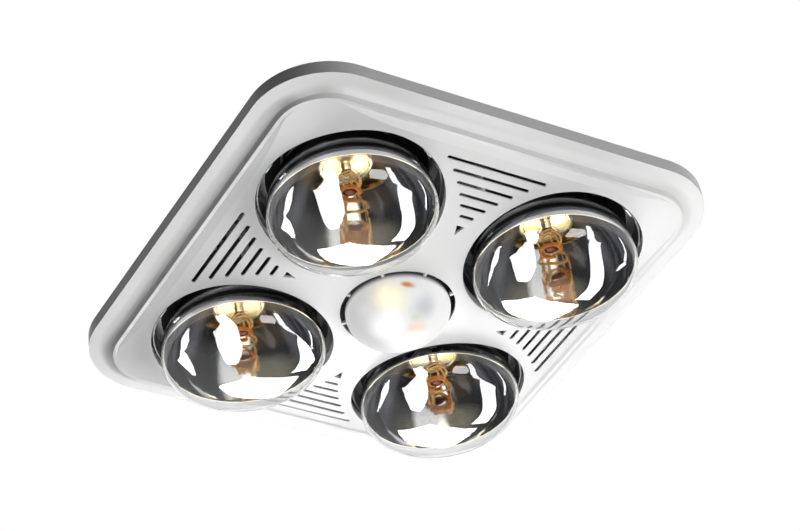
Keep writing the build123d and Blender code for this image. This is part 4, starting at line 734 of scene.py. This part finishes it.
# %% Pearl glass for the middle lamp
# Painted reflections: soft patches of tone that stand in for the room's shine on the pearl glass.
painted_reflection_spots = [
    # centre in mm, stretch, reach in mm where its fading starts and ends, tone
    ((-24.0, -24.0, -52.3), (1.0, 1.1, 1.0), 1, 21, (0.86, 0.79, 0.56)),
    ((-15.0, -36.4, -45.2), (0.5, 1.8, 1.8), 1, 6, (0.42, 0.16, 0.03)),
    ((3.6, -28.7, -56.1), (1.0, 1.0, 1.0), 1, 15, (0.38, 0.385, 0.40)),
    ((5.7, -13.6, -63.6), (1.0, 1.3, 1.0), 1, 13, (0.56, 0.44, 0.39)),
    ((0.1, -21.3, -60.9), (1.0, 1.3, 1.0), 1, 6, (0.42, 0.44, 0.35)),
    ((-16.1, -6.2, -62.7), (1.2, 1.0, 1.0), 1, 22, (0.80, 0.80, 0.80)),
    ((7.7, 0.2, -65.4), (1.0, 1.0, 1.0), 2, 16, (0.66, 0.65, 0.54)),
]
rim_low, rim_high = -0.041, -0.034
# Painted shade: the glass above the rim is darkened as if in its well's shadow.
painted_shade_tone = (0.03, 0.03, 0.03, 1.0)
# The pearl glass glows a little with its own tone: painted light that flattens its shading.
tree, shader, pearl_tone = make_finish(
    "pearl_glass", moulded, (0.56, 0.56, 0.555), (0.52, 0.52, 0.525), (30.0, 400.0, 0.34, 0.42), 0.01,
    {"Specular IOR Level": 0.08, "Emission Strength": 0.75})
for centre, stretch, inner, outer, tone in painted_reflection_spots:
    mask = tree.nodes.new("ShaderNodeGroup")
    mask.node_tree = painted_reflection_group
    mask.inputs["Centre"].default_value = [v * MM for v in centre]
    mask.inputs["Stretch"].default_value = stretch
    mask.inputs["Inner"].default_value = inner * MM
    mask.inputs["Outer"].default_value = outer * MM
    pearl_tone = add_mix(tree, mask.outputs["Mask"], pearl_tone, (*tone, 1.0))
# The painted shade above the rim covers the tone, so the glow fades there too.
painted_shade_share = add_range(tree, add_object_height(tree), rim_low, rim_high)
pearl_tone = add_mix(tree, painted_shade_share, pearl_tone, painted_shade_tone)
tree.links.new(pearl_tone, shader.inputs["Base Color"])
# The glow of painted light takes the same tone, painted reflections and painted shade included.
tree.links.new(pearl_tone, shader.inputs["Emission Color"])
print(len(painted_reflection_spots), "soft patches on the pearl glass")

# %% [markdown]
# ## Finishes inside the heat lamps
# Each heat lamp holds a coil of tungsten, wires, a glass stem, a golden disc and a red bead. One finish
# for all would make them hard to tell apart, so each has its own metal or glass. Then every CAD part
# is given the finish that its material slot names.

# %% Parts inside the heat lamps, and every CAD part's finish
make_finish(
    "filament", rolled, (0.95, 0.66, 0.28), (0.80, 0.42, 0.12), (300.0, 1500.0, 0.3, 0.45), 0.01,
    {"Metallic": 0.6})
make_finish(
    "gold_disc", rolled, (1.0, 0.93, 0.72), (0.98, 0.78, 0.38), (60.0, 300.0, 0.12, 0.3), 0.05, metal)
make_finish(
    "red_bead", moulded, (0.10, 0.012, 0.006), (0.20, 0.030, 0.010), (300.0, 900.0, 0.1, 0.25), 0.01)
make_finish(
    "stem_glass", moulded, (0.95, 0.90, 0.82), (0.90, 0.84, 0.74), (60.0, 300.0, 0.02, 0.08), 0.02,
    {"Transmission Weight": 1.0, "IOR": 1.5})
make_finish(
    "tungsten", rolled, (0.98, 0.46, 0.14), (0.75, 0.24, 0.05), (400.0, 2500.0, 0.25, 0.45), 0.01, metal)
for part in nodes.values():
    slot_name = part.material_slots[0].material.name.split(".")[0]
    for held in part.material_slots:
        held.material = finishes[slot_name]
print(len(finishes), "finishes in all, given to", len(nodes), "parts")

# %% [markdown]
# ## Tubes along lines
# A heat lamp's filament is a long coil held in a ring by hooks round a glass stem. A plain ring would do
# from afar, but the hooks and the coil show through the clear front. A curve with a bevel could make
# each wire. Here each is a tube of rings worked out along its line, so its ends can be closed.

# %% A tube along a line
seed = np.array([0.31, 0.17, 0.93])


def capped_tube(path, radius, sides):
    """Rings of points round a line, each ring square to it, with the ends closed on their middles.

    A ring is the line's point plus radius times cosine and sine along two directions square to
    the line. The first of them is also square to a slanting direction that no line follows.
    """
    along = np.gradient(path, axis=0)
    along /= np.linalg.norm(along, axis=1, keepdims=True)
    first = np.cross(along, seed)
    first /= np.linalg.norm(first, axis=1, keepdims=True)
    second = np.cross(along, first)
    turn = np.linspace(0, 2 * np.pi, sides, endpoint=False)
    ring = np.cos(turn)[None, :, None] * first[:, None] + np.sin(turn)[None, :, None] * second[:, None]
    points = path[:, None] + radius * ring
    start = np.repeat(points[:1].mean(1, keepdims=True), sides, 1)
    end = np.repeat(points[-1:].mean(1, keepdims=True), sides, 1)
    return np.concatenate([start, points, end])


def turned_points(profile, place, steps=64):
    """A profile of radius and height carried round an upright axis."""
    profile = np.asarray(profile, dtype=float)
    around = np.linspace(0, 2 * np.pi, steps, endpoint=False)[None, :]
    return about_axis(place, profile[:, :1], around, profile[:, 1:])


print("tubes and turned forms are ready")

# %% [markdown]
# ## The coil and what holds it
# The coil runs five sixths of the way round the lamp's axis, below the stem. Its ends hang on two stout
# leads, three hooks carry it between them, and two rings of wire lie inside the hooks. The lines could
# be drawn by hand as curves. A few heights and reaches with straight runs between them say the same and
# stay tied to the coil's size.

# %% Lines for the coil, its hooks, leads and rings
stem_low, stem_high = -2.8, 101.2
coil_height, coil_ring, coil_radius = -20.8, 7.5, 1.3
coil_turns, coil_turn_steps = 44, 12
coil_start, coil_sweep = 30, 300
ring_wave, ring_waves = 0.6, 3


def coil_path(place):
    """A helix bent round in a ring: a small circle that travels round most of a big one."""
    share = np.linspace(0, 1, coil_turns * coil_turn_steps)
    big = np.radians(coil_start + coil_sweep * share)
    small = 2 * np.pi * coil_turns * share
    reach = coil_ring + coil_radius * np.cos(small)
    return about_axis(place, reach, big, coil_height + coil_radius * np.sin(small))


def bent_path(place, angle, reaches, heights, steps):
    """Straight runs through reaches and heights about an axis, all at one angle in degrees."""
    stops = np.arange(len(reaches))
    fine = np.linspace(0, len(reaches) - 1, steps)
    reach = np.interp(fine, stops, reaches)
    return about_axis(place, reach, np.radians(angle), np.interp(fine, stops, heights))


def hook_path(place, angle):
    """A wire that leaves the stem, runs out and down, and curls round the coil."""
    reaches = [3.0, 7.0, 11.0, 11.5, 9.5, coil_ring, coil_ring - 1.9, coil_ring]
    heights = [stem_low + 3, stem_low + 1, stem_low - 6, coil_height + 3, coil_height - 1.2,
               coil_height - 2.0, coil_height, coil_height + 1.9]
    return bent_path(place, angle, reaches, heights, 40)


def lead_path(place, angle):
    """One of two stout wires from the stem to an end of the coil."""
    reaches = [2.2, coil_ring - 1, coil_ring]
    return bent_path(place, angle, reaches, [stem_low + 3, coil_height + 9, coil_height], 16)


def ring_path(place, height, reach):
    """A ring of wire about the stem that rises and falls a little as it goes round."""
    turn = np.linspace(0, 2 * np.pi, 48)
    return about_axis(place, reach, turn, height + ring_wave * np.sin(ring_waves * turn))


print("the coil has", coil_turns, "turns and", coil_turns * coil_turn_steps, "points")

# %% [markdown]
# ## Stem, disc and bead
# The stem, the disc that keeps the heat out of the neck and the red bead in the middle of the coil are
# all turned. Cylinders would do, but a real stem swells and necks, so each is a profile of radius and
# height in millimetres, carried round the lamp's axis.

# %% Profiles of the turned parts
stem_profile = [
    (0, stem_low), (3.4, stem_low + 0.4), (4.4, stem_low + 2.0), (3.4, stem_low + 4.5),
    (3.6, stem_low + 7), (4.5, stem_low + 12), (4.5, stem_high - 6), (4.5, stem_high), (0, stem_high)]
bead_profile = [
    (0, coil_height + 0.6), (3.2, coil_height + 0.8), (5.0, coil_height + 1.6),
    (3.2, coil_height + 2.4), (0, coil_height + 2.6)]
disc_profile = [
    (0, 6.0), (16.8, 6.0), (17.0, 6.0), (17.6, 5.2), (17.8, 5.2), (20.4, 5.2), (20.6, 5.3),
    (21.0, 6.0), (20.6, 6.7), (20.4, 6.8), (0, 6.8)]
print("stem", len(stem_profile), "points, bead", len(bead_profile), "and disc", len(disc_profile))

# %% [markdown]
# ## The filaments
# Each lamp gets the same five pieces. They could be copied from one lamp and moved, but then their place
# would sit in the object. Built in place, each piece only needs to ride on its lamp. The lamp's CAD filament
# is hidden, and the five pieces show in its place.

# %% Build the filaments
coil_wire, hook_wire, lead_wire, ring_wire = 0.5, 0.35, 0.9, 0.8
hook_angles = (80, 180, 280)
lead_angles = (coil_start, coil_start + coil_sweep)
support_rings = [(-11.0, 9.0), (-5.0, 5.6)]
lamp_places = [(-86.5, -86.5), (86.5, -86.5), (-86.5, 86.5), (86.5, 86.5)]
faces = 0
for number, place in enumerate(lamp_places, start=1):
    body = f"lamp_{number}"
    coil_tube = capped_tube(coil_path(place), coil_wire, 6) * MM
    hooks = [capped_tube(hook_path(place, angle), hook_wire, 8) * MM for angle in hook_angles]
    leads = [capped_tube(lead_path(place, angle), lead_wire, 10) * MM for angle in lead_angles]
    rings = [capped_tube(ring_path(place, *ring), ring_wire, 8) * MM for ring in support_rings]
    coil = place_mesh(f"{body}_coil", grid_mesh("coil", [coil_tube]))
    wires = place_mesh(f"{body}_wires", grid_mesh("wires", hooks + leads + rings))
    stem = place_mesh(f"{body}_stem", grid_mesh("stem", [turned_points(stem_profile, place) * MM]))
    disc = place_mesh(f"{body}_disc", grid_mesh("disc", [turned_points(disc_profile, place) * MM]))
    bead = place_mesh(f"{body}_bead", grid_mesh("bead", [turned_points(bead_profile, place) * MM]))
    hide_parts(f"heat_lamp_{number}_filament")
    for piece, slot_name in ((coil, "tungsten"), (wires, "filament"), (stem, "stem_glass"),
                             (disc, "gold_disc"), (bead, "red_bead")):
        piece.data.materials.append(finishes[slot_name])
        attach(piece, body)
        faces += len(piece.data.polygons)
print("filaments of", len(lamp_places), "lamps:", faces, "faces")
